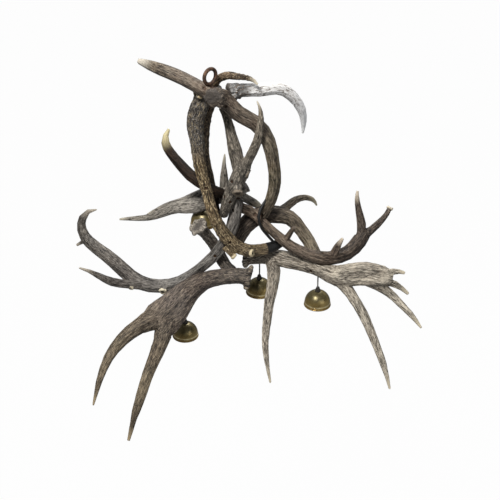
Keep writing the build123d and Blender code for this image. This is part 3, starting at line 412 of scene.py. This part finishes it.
class Grain:
    """How the bone runs: for each vertex its place across and along the limb that it lies on."""

    def __init__(self, name, places):
        girth, limbs = ANTLERS[name]
        count = len(places)
        best = np.full(count, np.inf)
        self.across = np.empty((count, 3))
        self.reach, self.to_end, self.limb_length, self.off_axis, self.radius = np.empty((5, count))
        self.sawn, self.pointed = np.empty((2, count), bool)
        for index, (key, points) in enumerate(limbs.items()):
            run = smooth_run(points)
            centres = run[:, :3] / MM
            radii = np.maximum(run[:, 3] * girth / 2 / MM, THINNEST)
            arc = np.concatenate([[0], np.cumsum(np.linalg.norm(np.diff(centres, axis=0), axis=1))])
            along = np.gradient(centres, axis=0)
            along /= np.linalg.norm(along, axis=1)[:, None]
            side = side_directions(along)
            up = np.cross(along, side)
            if index == 0:
                beam_centres, beam_arc = centres, arc
            start = np.argmin(np.linalg.norm(beam_centres - centres[0], axis=1))

            near, distance = nearest_samples(places, centres, radii)
            offset = places - centres[near]
            x, y, forward = (np.sum(offset * axis[near], axis=1) for axis in (side, up, along))
            reach = beam_arc[start] + arc[near] + forward
            score = distance / radii[near]
            mine = score < best
            best[mine] = score[mine]
            self.across[mine] = np.column_stack([x + LIMB_SHIFT * index, y, reach])[mine]
            self.reach[mine] = reach[mine]
            self.to_end[mine] = (arc[-1] - arc[near] - forward)[mine]
            self.limb_length[mine] = arc[-1]
            self.off_axis[mine] = np.hypot(x, y)[mine]
            self.radius[mine] = radii[near][mine]
            self.sawn[mine] = key.endswith("cut")
            self.pointed[mine] = points[-1][3] * girth < POINTED_UNDER and not key.startswith("stub")


# ---------------------------------------------------------------- antlers: surface
LATTICE_CELLS = 64         # each way, before the noise repeats


class Lattice:
    """Smooth seeded noise from 0 to 1, read at many points at once."""

    def __init__(self, seed):
        self.values = np.random.default_rng(seed).random((LATTICE_CELLS,) * 3)

    def at(self, points):
        cell = np.floor(points).astype(int)
        f = points - cell
        f = f * f * (3 - 2 * f)
        total = np.zeros(len(points))
        for corner in product((0, 1), repeat=3):
            weight = np.abs(1 - np.array(corner) - f).prod(axis=1)
            total += weight * self.values[tuple((cell + corner).T % LATTICE_CELLS)]
        return total


def step(value, low, high):
    """A soft step from 0 at low to 1 at high."""
    t = np.clip((value - low) / (high - low), 0, 1)
    return t * t * (3 - 2 * t)


def only(made):
    """Make this the one selected object, for the operators."""
    bpy.ops.object.select_all(action="DESELECT")
    made.select_set(True)
    bpy.context.view_layer.objects.active = made


def read_vectors(items, key):
    """One row of three for each of the mesh's items."""
    values = np.empty(len(items) * 3, np.float32)
    items.foreach_get(key, values)
    return values.reshape(-1, 3)


def store(mesh, name, values):
    """Keep one value or vector for each vertex, where the material reads it."""
    kind, key = ("FLOAT_VECTOR", "vector") if values.ndim == 2 else ("FLOAT", "value")
    layer = mesh.attributes.new(name, kind, "POINT")
    layer.data.foreach_set(key, values.astype(np.float32).ravel())


# Per antler: how rough its ridges stand, how far from the base its pearls reach in metres and how
# high they are, and how many metres from the point the tines are worn smooth.
RELIEF = {
    "top_antler": (0.55, 0.10, 0.3, 0.07),
    "upright_antler": (1.0, 0.62, 1.1, 0.05),
    "rear_upright_antler": (0.9, 0.30, 1.0, 0.04),
    "white_spike_antler": (0.8, 0.05, 0.8, 0.10),
    "forked_antler": (0.45, 0.60, 0.4, 0.04),
    "dark_antler": (0.6, 0.05, 0.4, 0.09),
    "back_left_antler": (0.7, 0.10, 0.5, 0.05),
    "left_antler": (0.55, 0.08, 0.4, 0.06),
    "burr_left_antler": (1.0, 0.12, 0.7, 0.05),
    "front_left_antler": (0.9, 0.10, 0.6, 0.05),
    "front_right_antler": (1.1, 0.15, 0.6, 0.06),
    "right_antler": (0.9, 0.06, 0.4, 0.05),
    "back_right_antler": (1.2, 0.05, 0.4, 0.07),
}

# Each pattern's cells in metres, across and along the bone, and a shift that sets it apart.
PATTERNS = {
    "ridges": (0.0048, 0.085, 0),
    "threads": (0.0027, 0.016, 17),
    "pearls": (0.0031, 0.0052, 31),
    "swells": (0.030, 0.060, 43),
    "knobs": (0.0065, 0.008, 57),
    "saw_marks": (0.004, 0.006, 71),
}

# Sizes in metres. A few burrs are longer than a plain ring, or flare wide past the beam.
WELD = 0.00002
VOXEL = 0.0015
REACH_SPAN = 1.2           # longer than any antler
RIDGE_RISE = 0.0019
PEARL_RISE = 0.0011
SWELL_RISE = 0.0016        # of the broad, soft swellings
KNOB_RISE = 0.0090
PLAIN_BURR_LENGTH = 0.012
PLAIN_BURR_SPREAD = 0.0015
BURR_EDGE = 0.004
SAWN_LIP = 0.0026
RAGGED_CUT = 0.004
BURR_LENGTH = {"white_spike_antler": 0.030}
BURR_SPREAD = {"burr_left_antler": 0.0045, "front_left_antler": 0.0025, "front_right_antler": 0.0025,
               "upright_antler": 0.0020}


def drop_crumbs(mesh):
    """Delete the specks that the remesh leaves apart from the skin."""
    edges = np.empty(len(mesh.edges) * 2, np.int32)
    mesh.edges.foreach_get("vertices", edges)
    start, end = edges.reshape(-1, 2).T
    shell = np.arange(len(mesh.vertices))
    while (shell[start] != shell[end]).any():
        lower = np.minimum(shell[start], shell[end])
        np.minimum.at(shell, start, lower)
        np.minimum.at(shell, end, lower)
        shell = shell[shell]
    crumbs = np.flatnonzero(shell != np.bincount(shell).argmax())
    if len(crumbs):
        work = bmesh.new()
        work.from_mesh(mesh)
        work.verts.ensure_lookup_table()
        bmesh.ops.delete(work, geom=[work.verts[i] for i in crumbs], context="VERTS")
        work.to_mesh(mesh)
        work.free()


def bone_copy(name):
    """A copy of the antler's node without its parent, properties and materials."""
    made = nodes[name].copy()
    made.data = nodes[name].data.copy()
    made.name = name.replace("antler", "bone")
    made.parent = None
    for key in list(made.keys()):
        del made[key]
    bpy.context.scene.collection.objects.link(made)
    made.data.materials.clear()
    return made


def reskin(made):
    """Turn the copy into one closed, even skin that is fine enough for the relief."""
    only(made)
    bpy.ops.object.mode_set(mode="EDIT")
    bpy.ops.mesh.select_all(action="SELECT")
    bpy.ops.mesh.remove_doubles(threshold=WELD)
    bpy.ops.object.mode_set(mode="OBJECT")
    remesh = made.modifiers.new("skin", "REMESH")
    remesh.mode = "VOXEL"
    remesh.voxel_size = VOXEL
    bpy.ops.object.modifier_apply(modifier=remesh.name)
    relax = made.modifiers.new("relax", "SMOOTH")
    relax.factor = 0.5
    relax.iterations = 3
    bpy.ops.object.modifier_apply(modifier=relax.name)
    bpy.ops.object.shade_smooth()
    drop_crumbs(made.data)


def weathered(name, seed):
    """A closed copy of the antler's skin with its ridges, pearls, burr and worn points."""
    made = bone_copy(name)
    reskin(made)
    mesh = made.data
    places = read_vectors(mesh.vertices, "co").astype(float)
    normals = read_vectors(mesh.vertex_normals, "vector")

    roughness, pearl_reach, pearl_height, worn_reach = RELIEF[name]
    grain = Grain(name, places)
    noise = Lattice(seed)
    burred = name in BURRED
    off_axis = grain.off_axis / grain.radius

    def pattern(kind):
        across, along, shift = PATTERNS[kind]
        return noise.at(grain.across / (across, across, along) + shift)

    ridges = pattern("ridges")
    threads = pattern("threads")
    ragged = RAGGED_CUT * (pattern("saw_marks") - 0.5)

    # Where the bone is worn, sawn, pearled or burr.
    worn_length = np.minimum(worn_reach, grain.limb_length / 2)
    worn = (grain.pointed & ~grain.sawn) * (1 - step(grain.to_end, 0, worn_length))
    sawn_end = grain.sawn * (1 - step(grain.to_end + ragged, 0.0040, 0.0075))
    sawn_face = grain.sawn * (1 - step(grain.to_end, 0.0024, 0.0042))
    smoothing = 1 - 0.85 * np.maximum(worn, sawn_end)
    pearled = (1 - step(grain.reach, pearl_reach * 0.6, pearl_reach)) * smoothing
    burr_end = BURR_LENGTH.get(name, PLAIN_BURR_LENGTH)
    at_burr = burred * (1 - step(grain.reach, burr_end - BURR_EDGE, burr_end + BURR_EDGE))
    at_burr *= step(grain.reach, -BURR_EDGE, 0.003)

    rise = roughness * smoothing * (ridges - 0.62 + 0.55 * (threads - 0.6)) * RIDGE_RISE
    rise += pearl_height * step(pattern("pearls"), 0.50, 0.78) * pearled * PEARL_RISE
    rise += SWELL_RISE * (pattern("swells") - 0.65) * smoothing
    outer = 0.25 + 0.75 * step(off_axis, 0.75, 1.0)
    spread = BURR_SPREAD.get(name, PLAIN_BURR_SPREAD)
    rise += at_burr * outer * ((pattern("knobs") - 0.35) * KNOB_RISE + spread)
    rise += SAWN_LIP * sawn_end * (1 - step(grain.to_end, 0.0040, 0.0100)) * (off_axis > 0.75)
    places += normals * rise[:, None]
    mesh.vertices.foreach_set("co", places.astype(np.float32).ravel())
    mesh.update()

    store(mesh, "grain", grain.across)
    store(mesh, "height", np.clip(0.5 + 1.1 * (ridges - 0.5) + 0.6 * (threads - 0.5), 0, 1))
    store(mesh, "pearled", pearled * min(pearl_height, 1))
    store(mesh, "burr_face", (1 - step(grain.reach, 0.0005, 0.0035)) * burred)
    store(mesh, "reach", np.clip(grain.reach, 0, REACH_SPAN))
    store(mesh, "worn", worn)
    store(mesh, "sawn", sawn_end)
    store(mesh, "pith", sawn_face * (1 - step(off_axis, 0.36, 0.60)))
    store(mesh, "burr_rim", at_burr * step(off_axis, 1.02, 1.20) * (name in BURR_SPREAD))
    return made


# ---------------------------------------------------------------- antlers: finish
# Per antler: groove and ridge colours from base to end as (reach in metres, groove, ridge),
# then the colours of the pearls, the worn points, the sawn ends and the blotches.
# The groove colours below are darkened partly as painted shade in the hollows between the ridges.
FINISH = {
    "top_antler": (
        [(0.0, (30, 25, 21), (92, 80, 70)), (0.05, (34, 28, 23), (128, 112, 97)),
         (0.16, (42, 36, 30), (138, 125, 110)), (0.30, (48, 41, 31), (140, 128, 104)),
         (0.42, (38, 32, 25), (116, 105, 85))],
        (206, 192, 172), (206, 198, 184), (210, 196, 164), (96, 74, 58)),
    "upright_antler": (
        [(0.0, (22, 20, 19), (80, 76, 72)), (0.14, (24, 22, 21), (88, 83, 79)),
         (0.19, (24, 18, 12), (108, 88, 61)), (0.50, (28, 21, 14), (122, 102, 74)),
         (0.62, (34, 28, 22), (128, 115, 98))],
        (230, 207, 164), (204, 192, 164), (222, 208, 174), (50, 41, 33)),
    "rear_upright_antler": (
        [(0.0, (40, 28, 19), (138, 112, 84)), (0.10, (28, 21, 16), (92, 76, 60)),
         (0.40, (26, 20, 16), (80, 69, 57))],
        (210, 188, 154), (222, 212, 190), (210, 196, 164), (60, 42, 30)),
    "white_spike_antler": (
        [(0.0, (18, 17, 16), (74, 71, 69)), (0.044, (24, 22, 21), (104, 101, 98)),
         (0.064, (168, 164, 160), (250, 250, 250)), (0.16, (206, 200, 194), (255, 255, 255)),
         (0.26, (244, 244, 244), (255, 255, 255))],
        (254, 254, 254), (254, 255, 255), (220, 210, 190), (236, 234, 230)),
    "forked_antler": (
        [(0.0, (30, 26, 22), (108, 99, 88)), (0.10, (30, 27, 24), (112, 106, 99)),
         (0.20, (32, 28, 24), (130, 121, 109)), (0.34, (36, 30, 24), (158, 146, 128))],
        (220, 208, 188), (212, 202, 182), (122, 114, 104), (66, 60, 53)),
    "dark_antler": (
        [(0.0, (10, 7, 5), (50, 37, 27)), (0.22, (10, 7, 5), (58, 42, 29)),
         (0.34, (22, 14, 8), (112, 86, 50))],
        (72, 56, 42), (214, 202, 160), (150, 130, 100), (14, 9, 6)),
    "back_left_antler": (
        [(0.0, (46, 42, 37), (160, 152, 142)), (0.20, (58, 53, 48), (186, 179, 168)),
         (0.45, (62, 56, 49), (196, 188, 174))],
        (222, 215, 203), (196, 189, 170), (196, 184, 160), (112, 100, 86)),
    "left_antler": (
        [(0.0, (44, 40, 37), (142, 135, 128)), (0.30, (48, 45, 42), (164, 160, 154)),
         (0.50, (34, 30, 27), (128, 120, 112)), (0.75, (28, 25, 21), (104, 98, 89))],
        (200, 195, 186), (176, 166, 150), (240, 231, 205), (70, 61, 54)),
    "burr_left_antler": (
        [(0.0, (60, 52, 44), (190, 182, 168)), (0.018, (50, 43, 37), (150, 141, 130)),
         (0.05, (32, 27, 23), (116, 106, 96)), (0.20, (30, 25, 21), (108, 98, 88))],
        (196, 186, 172), (176, 166, 152), (196, 184, 160), (50, 40, 32)),
    "front_left_antler": (
        [(0.0, (22, 19, 18), (84, 77, 72)), (0.12, (30, 25, 22), (112, 101, 94)),
         (0.26, (34, 28, 24), (130, 117, 107)), (0.45, (32, 24, 17), (156, 140, 114))],
        (194, 178, 154), (168, 150, 120), (196, 184, 160), (78, 62, 52)),
    "front_right_antler": (
        [(0.0, (28, 23, 19), (112, 100, 88)), (0.08, (42, 34, 27), (168, 156, 140)),
         (0.22, (52, 43, 34), (204, 192, 174)), (0.45, (54, 45, 35), (214, 203, 184))],
        (236, 227, 209), (212, 200, 175), (210, 196, 164), (112, 95, 79)),
    "right_antler": (
        [(0.0, (36, 26, 19), (134, 112, 92)), (0.12, (34, 27, 21), (136, 120, 104)),
         (0.30, (28, 21, 16), (112, 97, 84)), (0.45, (22, 17, 14), (94, 82, 72))],
        (176, 160, 140), (204, 190, 170), (232, 222, 200), (62, 44, 32)),
    "back_right_antler": (
        [(0.0, (22, 18, 15), (92, 80, 71)), (0.14, (20, 16, 14), (92, 79, 70)),
         (0.24, (40, 33, 26), (150, 136, 115)), (0.30, (50, 43, 34), (176, 163, 140))],
        (186, 172, 150), (210, 199, 170), (196, 184, 160), (58, 46, 37)),
}

# The share of the ridges that is rubbed pale, partly as worn bone and partly as painted highlight along the
# ridges, and pearls that are greyer near the base.
USUAL_FLECKS_AND_HIGHLIGHTS = 0.45
FLECKED_AND_HIGHLIT = {"front_right_antler": 0.80, "front_left_antler": 0.60, "upright_antler": 0.50,
           "forked_antler": 0.60}
BASE_PEARLS = {"upright_antler": (192, 187, 180)}


def bone_finish(name):
    """Weathered bone: streaked along the limb, pearled near the base and worn at the points."""
    bands, pearl, worn, sawn, blotch = FINISH[name]
    is_white = name == "white_spike_antler"
    shader = Shader(name.replace("antler", "bone_finish"))
    reach = shader.maths("DIVIDE", shader.attribute("reach"), REACH_SPAN)

    def by_reach(*stops):
        """A ramp along the antler, with its stops in metres from the base."""
        return shader.ramp(reach, *[(place / REACH_SPAN, value) for place, value in stops])

    # Streaks along the bone choose between groove and ridge; the dark groove colours stand partly for
    # stained bone and partly for painted shade in the hollows.
    streak = shader.noise(shader.grain(640, 30), 1.0, 5, 0.68)
    thread = shader.noise(shader.grain(540, 84), 1.0, 3, 0.6)
    height = shader.plus(shader.times(shader.attribute("height"), 0.22), shader.times(streak, 0.98))
    share = shader.ramp(height, (0.43, 0.0), (0.56, 0.58), (0.74, 1.0))
    groove = by_reach(*[(place, linear(*low)) for place, low, _ in bands])
    ridge = by_reach(*[(place, linear(*high)) for place, _, high in bands])
    colour = shader.mix(share, groove, ridge)

    # Blotches, soft shade, dark cracks that are partly dirt and partly painted shade in the crevices, and
    # pale flecks that are partly rubbed bone and partly painted highlight on the ridges. The white spike is
    # nearly free of this grime and painted crack shade.
    place = shader.coordinates()
    grime = 0.12 if is_white else 1.0
    blotches = shader.ramp(shader.noise(place, 14, 5, 0.6), (0.46, 0.0), (0.72, 0.55))
    colour = shader.mix(blotches, colour, linear(*blotch))
    shade = shader.ramp(shader.noise(place, 24, 5, 0.6), (0.34, 0.50), (0.62, 1.0))
    colour = shader.mix(grime, colour, shade, "MULTIPLY")
    # Dark cracks: partly dirt, partly painted shade in the recesses of the fine crackle bump below.
    cracks_and_crevice_shade = shader.ramp(thread, (0.38, 0.12), (0.46, 1.0))
    colour = shader.mix(grime, colour, cracks_and_crevice_shade, "MULTIPLY")
    # Pale flecks on the ridges: partly rubbed bone, partly painted highlight.
    pale_flecks_and_highlights = shader.ramp(thread, (0.53, 0.0), (0.65, FLECKED_AND_HIGHLIT.get(name, USUAL_FLECKS_AND_HIGHLIGHTS)))
    colour = shader.mix(shader.times(pale_flecks_and_highlights, share), colour, linear(*pearl))

    # Pearls are round near the base and long farther out.
    outward = by_reach((0.14, 0.0), (0.19, 1.0))
    round_pearls = shader.ramp(shader.noise(shader.grain(440, 300), 1.0, 2), (0.60, 0.0), (0.69, 0.8))
    long_pearls = shader.ramp(shader.noise(shader.grain(540, 100), 1.0, 2), (0.57, 0.0), (0.67, 0.85))
    pearls = shader.mix(outward, round_pearls, long_pearls)
    tint = shader.mix(outward, linear(*BASE_PEARLS.get(name, pearl)), linear(*pearl))
    colour = shader.mix(shader.times(pearls, shader.attribute("pearled")), colour, tint)
    if is_white:
        span = by_reach((0.05, 1.0), (0.18, 0.9), (0.27, 0.1))
        peel = shader.noise(shader.grain(260, 90), 1.0, 4, 0.65)
        peeled = shader.times(span, shader.ramp(peel, (0.52, 0.0), (0.58, 0.9)))
        colour = shader.mix(peeled, colour, linear(92, 78, 66))

    # The burr's face and lip, the worn points and the sawn ends.
    face = shader.mix(cracks_and_crevice_shade, linear(34, 30, 28), linear(86, 80, 75))
    colour = shader.mix(shader.times(shader.attribute("burr_face"), 0.85), colour, face)
    broken_lip = shader.ramp(thread, (0.42, 0.10), (0.60, 0.75))
    lip = shader.times(shader.attribute("burr_rim"), broken_lip)
    colour = shader.mix(lip, colour, linear(*pearl))
    rubbed = shader.times(shader.attribute("worn"), shader.plus(streak, 0.45))
    colour = shader.mix(shader.ramp(rubbed, (0.10, 0.0), (0.90, 0.90)), colour, linear(*worn))
    stain = shader.ramp(shader.noise(place, 420, 3), (0.35, 0.0), (0.75, 0.5))
    end = shader.mix(stain, linear(*sawn), linear(132, 106, 72))
    colour = shader.mix(shader.attribute("sawn"), colour, end)
    colour = shader.mix(shader.times(shader.attribute("pith"), 0.9), colour, linear(46, 34, 24))

    polish = shader.plus(shader.attribute("worn"), shader.times(streak, 0.2))
    roughness = shader.ramp(polish, (0.0, 0.62), (0.9, 0.38))
    crackle = shader.bump(thread, 0.6, 0.0012)
    normal = shader.bump(streak, 0.4 if is_white else 0.9, 0.0022, crackle)
    gloss = 0.15 if name == "dark_antler" else 0.35
    return shader.finish(colour, roughness, normal, Specular_IOR_Level=gloss)


FIRST_SEED = 3
for seed, name in enumerate(ANTLERS, FIRST_SEED):
    bone = weathered(name, seed)
    bone.data.materials.append(bone_finish(name))
    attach(bone, "frame")
    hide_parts(name)


# ---------------------------------------------------------------- metal, plastic and glass
def rusty_iron():
    shader = Shader("rusty_iron")
    place = shader.coordinates()
    scale = shader.noise(place, 120, 8, 0.65)
    colour = shader.ramp(scale, (0.30, linear(32, 23, 19)), (0.50, linear(84, 61, 47)),
                         (0.70, linear(138, 106, 82)))
    grime = shader.ramp(shader.noise(place, 40, 4), (0.42, 0.0), (0.62, 0.65))
    colour = shader.mix(grime, colour, linear(60, 49, 43))
    hammered = shader.bump(shader.noise(place, 60, 3), 0.6, 0.002)
    normal = shader.bump(scale, 0.7, 0.0012, hammered)
    return shader.finish(colour, shader.ramp(scale, (0.3, 0.50), (0.7, 0.88)), normal, Metallic=0.35)


def black_iron():
    return mottled("black_iron", (260, 6, 0.6), [(0.35, (34, 31, 29)), (0.70, (96, 70, 50))],
                   [(0.3, 0.42), (0.7, 0.70)], (0.4, 0.0006), Metallic=0.7)


def wound_tape():
    shader = Shader("wound_tape")
    place = shader.coordinates(scale=(1, 0.25, 0.35))
    bands = shader.node("ShaderNodeTexWave", wave_type="BANDS", bands_direction="X")
    bands.inputs["Scale"].default_value = 55
    bands.inputs["Distortion"].default_value = 1.5
    shader.join(place, bands.inputs["Vector"])
    crease = shader.noise(shader.coordinates(), 240, 5)
    colour = shader.ramp(crease, (0.30, linear(4, 4, 5)), (0.75, linear(22, 21, 20)))
    normal = shader.bump(bands.outputs["Fac"], 0.6, 0.0010, shader.bump(crease, 0.4, 0.0007))
    return shader.finish(colour, shader.ramp(crease, (0.3, 0.30), (0.7, 0.55)), normal)


def moulded_black():
    return mottled("moulded_black", (90, 6, 0.65), [(0.38, (24, 23, 22)), (0.78, (74, 68, 60))],
                   [(0.3, 0.38), (0.7, 0.66)], (0.25, 0.0005))


def lamp_metal():
    return mottled("lamp_metal", (300, 4), [(0.3, (150, 148, 144)), (0.7, (204, 202, 198))],
                   [(0.3, 0.28), (0.7, 0.45)], (0.2, 0.0003), stretch=(1, 1, 6), Metallic=1.0)


def lamp_glass():
    return mottled("lamp_glass", (110, 4), [(0.3, (232, 230, 222)), (0.7, (250, 249, 245))],
                   [(0.3, 0.03), (0.75, 0.16)], Transmission_Weight=1.0, IOR=1.45)


BEAD_ZOOM = 20.0           # brings the 5 cm above a shade's rim onto one ramp


def aged_brass(number):
    """Olive gold, browner above, with dark spots, rubbed patches and a bright band on the bead line over the
    rim that is partly polish and partly painted highlight.
    """
    low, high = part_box("shade_%d" % number)
    centre = (low + high) / 2
    shader = Shader("aged_brass_%d" % number)
    place = shader.coordinates(shift=(-centre.x, -centre.y, -low.z))
    split = shader.node("ShaderNodeSeparateXYZ")
    shader.join(place, split.inputs["Vector"])
    level = shader.maths("DIVIDE", split.outputs["Z"], high.z - low.z)
    bloom = shader.noise(place, 55, 7, 0.62)
    height = shader.plus(level, shader.times(bloom, 0.5))
    colour = shader.ramp(height, (0.30, linear(146, 121, 72)), (0.70, linear(138, 118, 71)),
                         (0.84, linear(126, 111, 72)), (0.98, linear(106, 97, 68)))
    spots = shader.ramp(shader.noise(place, 210, 5, 0.6), (0.50, 0.0), (0.74, 0.7))
    colour = shader.mix(spots, colour, linear(66, 54, 30))
    rubbed = shader.ramp(shader.noise(place, 26, 3), (0.50, 0.0), (0.70, 0.75))
    colour = shader.mix(rubbed, colour, linear(196, 174, 116))
    # A bright band along the bead line above the rim: partly polished brass, partly a painted highlight.
    over_rim = shader.times(split.outputs["Z"], BEAD_ZOOM)
    bead_polish_and_highlight = shader.ramp(over_rim, (0.155, 0.0), (0.185, 0.85), (0.235, 0.85), (0.265, 0.0))
    uneven = shader.ramp(shader.noise(place, 48, 3), (0.40, 0.35), (0.58, 1.0))
    colour = shader.mix(shader.times(bead_polish_and_highlight, uneven), colour, linear(226, 214, 172))
    roughness = shader.ramp(bloom, (0.3, 0.20), (0.75, 0.42))
    dents = shader.bump(shader.noise(place, 24, 2), 0.35, 0.002)
    return shader.finish(colour, roughness, shader.bump(bloom, 0.15, 0.0004, dents), Metallic=0.6)


EDGE_ANGLE = math.radians(35)      # steeper edges stay sharp


def dress(material, *names):
    """Give nodes their material, smooth but for their sharp edges."""
    for name in names:
        nodes[name].data.materials.clear()
        nodes[name].data.materials.append(material)
        only(nodes[name])
        bpy.ops.object.shade_smooth_by_angle(angle=EDGE_ANGLE)


def four(kind):
    """The names of the four nodes of one kind, a node for each pendant."""
    return ["%s_%d" % (kind, number) for number in range(1, 5)]


dress(rusty_iron(), "hanging_eye", "eye_washers", "eye_nut")
dress(black_iron(), "joint_screws")
dress(wound_tape(), "tape_wrap")
dress(moulded_black(), *four("cord_bush"), *four("cord_grip"), *four("lamp_holder"))
dress(lamp_metal(), *four("lamp_cap"))
dress(lamp_glass(), *four("lamp_glass"))
for number, shade in enumerate(four("shade"), 1):
    dress(aged_brass(number), shade)


# ---------------------------------------------------------------- studio
PAPER_SIZE = 14
PAPER_DROP = 1.0           # how far the paper lies below the lowest tine
PAPER_GREY = (0.5, 0.5, 0.5, 1)
SEEN_AS_WHITE = 0.98
AMBIENT_COLOUR = (0.93, 0.96, 1.0, 1)
AMBIENT_STRENGTH = 0.19
WHITE = (1, 1, 1, 1)


def lit_backdrop():
    """White to the camera, also through glass. To the object it is plain grey paper."""
    shader = Shader("pale_paper")
    shader.surface.inputs["Base Color"].default_value = PAPER_GREY
    shader.surface.inputs["Roughness"].default_value = 0.9
    glow = shader.node("ShaderNodeEmission")
    glow.inputs["Strength"].default_value = 1.0
    ray = shader.node("ShaderNodeLightPath")
    seen = shader.maths("MAXIMUM", ray.outputs["Is Camera Ray"], ray.outputs["Is Transmission Ray"])
    blend = shader.node("ShaderNodeMixShader")
    shader.join(shader.times(seen, SEEN_AS_WHITE), blend.inputs[0])
    shader.join(shader.surface.outputs[0], blend.inputs[1])
    shader.join(glow.outputs[0], blend.inputs[2])
    shader.join(blend.outputs[0], shader.tree.nodes["Material Output"].inputs["Surface"])
    return shader.material


def studio_world():
    """A dim, slightly blue sky to the object, and plain white to the camera."""
    world = bpy.data.worlds.new("studio")
    world.use_nodes = True
    sky = world.node_tree
    ambient = sky.nodes["Background"]
    ambient.inputs["Color"].default_value = AMBIENT_COLOUR
    ambient.inputs["Strength"].default_value = AMBIENT_STRENGTH
    white = sky.nodes.new("ShaderNodeBackground")
    white.inputs["Color"].default_value = WHITE
    white.inputs["Strength"].default_value = 1.0
    path = sky.nodes.new("ShaderNodeLightPath")
    choose = sky.nodes.new("ShaderNodeMixShader")
    sky.links.new(path.outputs["Is Camera Ray"], choose.inputs[0])
    sky.links.new(ambient.outputs[0], choose.inputs[1])
    sky.links.new(white.outputs[0], choose.inputs[2])
    sky.links.new(choose.outputs[0], sky.nodes["World Output"].inputs["Surface"])
    return world


def lamp(name, place, size, power, colour=(1, 1, 1)):
    """A round area light that faces the object's middle."""
    data = bpy.data.lights.new(name, "AREA")
    data.shape = "DISK"
    data.size = size
    data.energy = power
    data.color = colour
    made = bpy.data.objects.new(name, data)
    bpy.context.scene.collection.objects.link(made)
    made.location = place
    made.rotation_mode = "QUATERNION"
    made.rotation_quaternion = (TARGET - Vector(place)).to_track_quat("-Z", "Y")
    return made


bpy.ops.mesh.primitive_plane_add(size=PAPER_SIZE, location=(0, 0, packed_low.z - PAPER_DROP))
floor = bpy.context.object
floor.name = "floor"
floor.data.materials.append(lit_backdrop())
bpy.context.scene.world = studio_world()

# Each lamp's place and diameter in metres, its watts and its colour.
lamps = [
    lamp("key", (-0.75, -1.35, 2.1), 0.6, 106, (1.0, 0.985, 0.96)),
    lamp("fill", (2.0, -1.8, 0.4), 1.6, 10),
    lamp("rim", (0.6, 1.8, 1.4), 1.2, 32),
]

bpy.context.scene.view_settings.view_transform = "Standard"
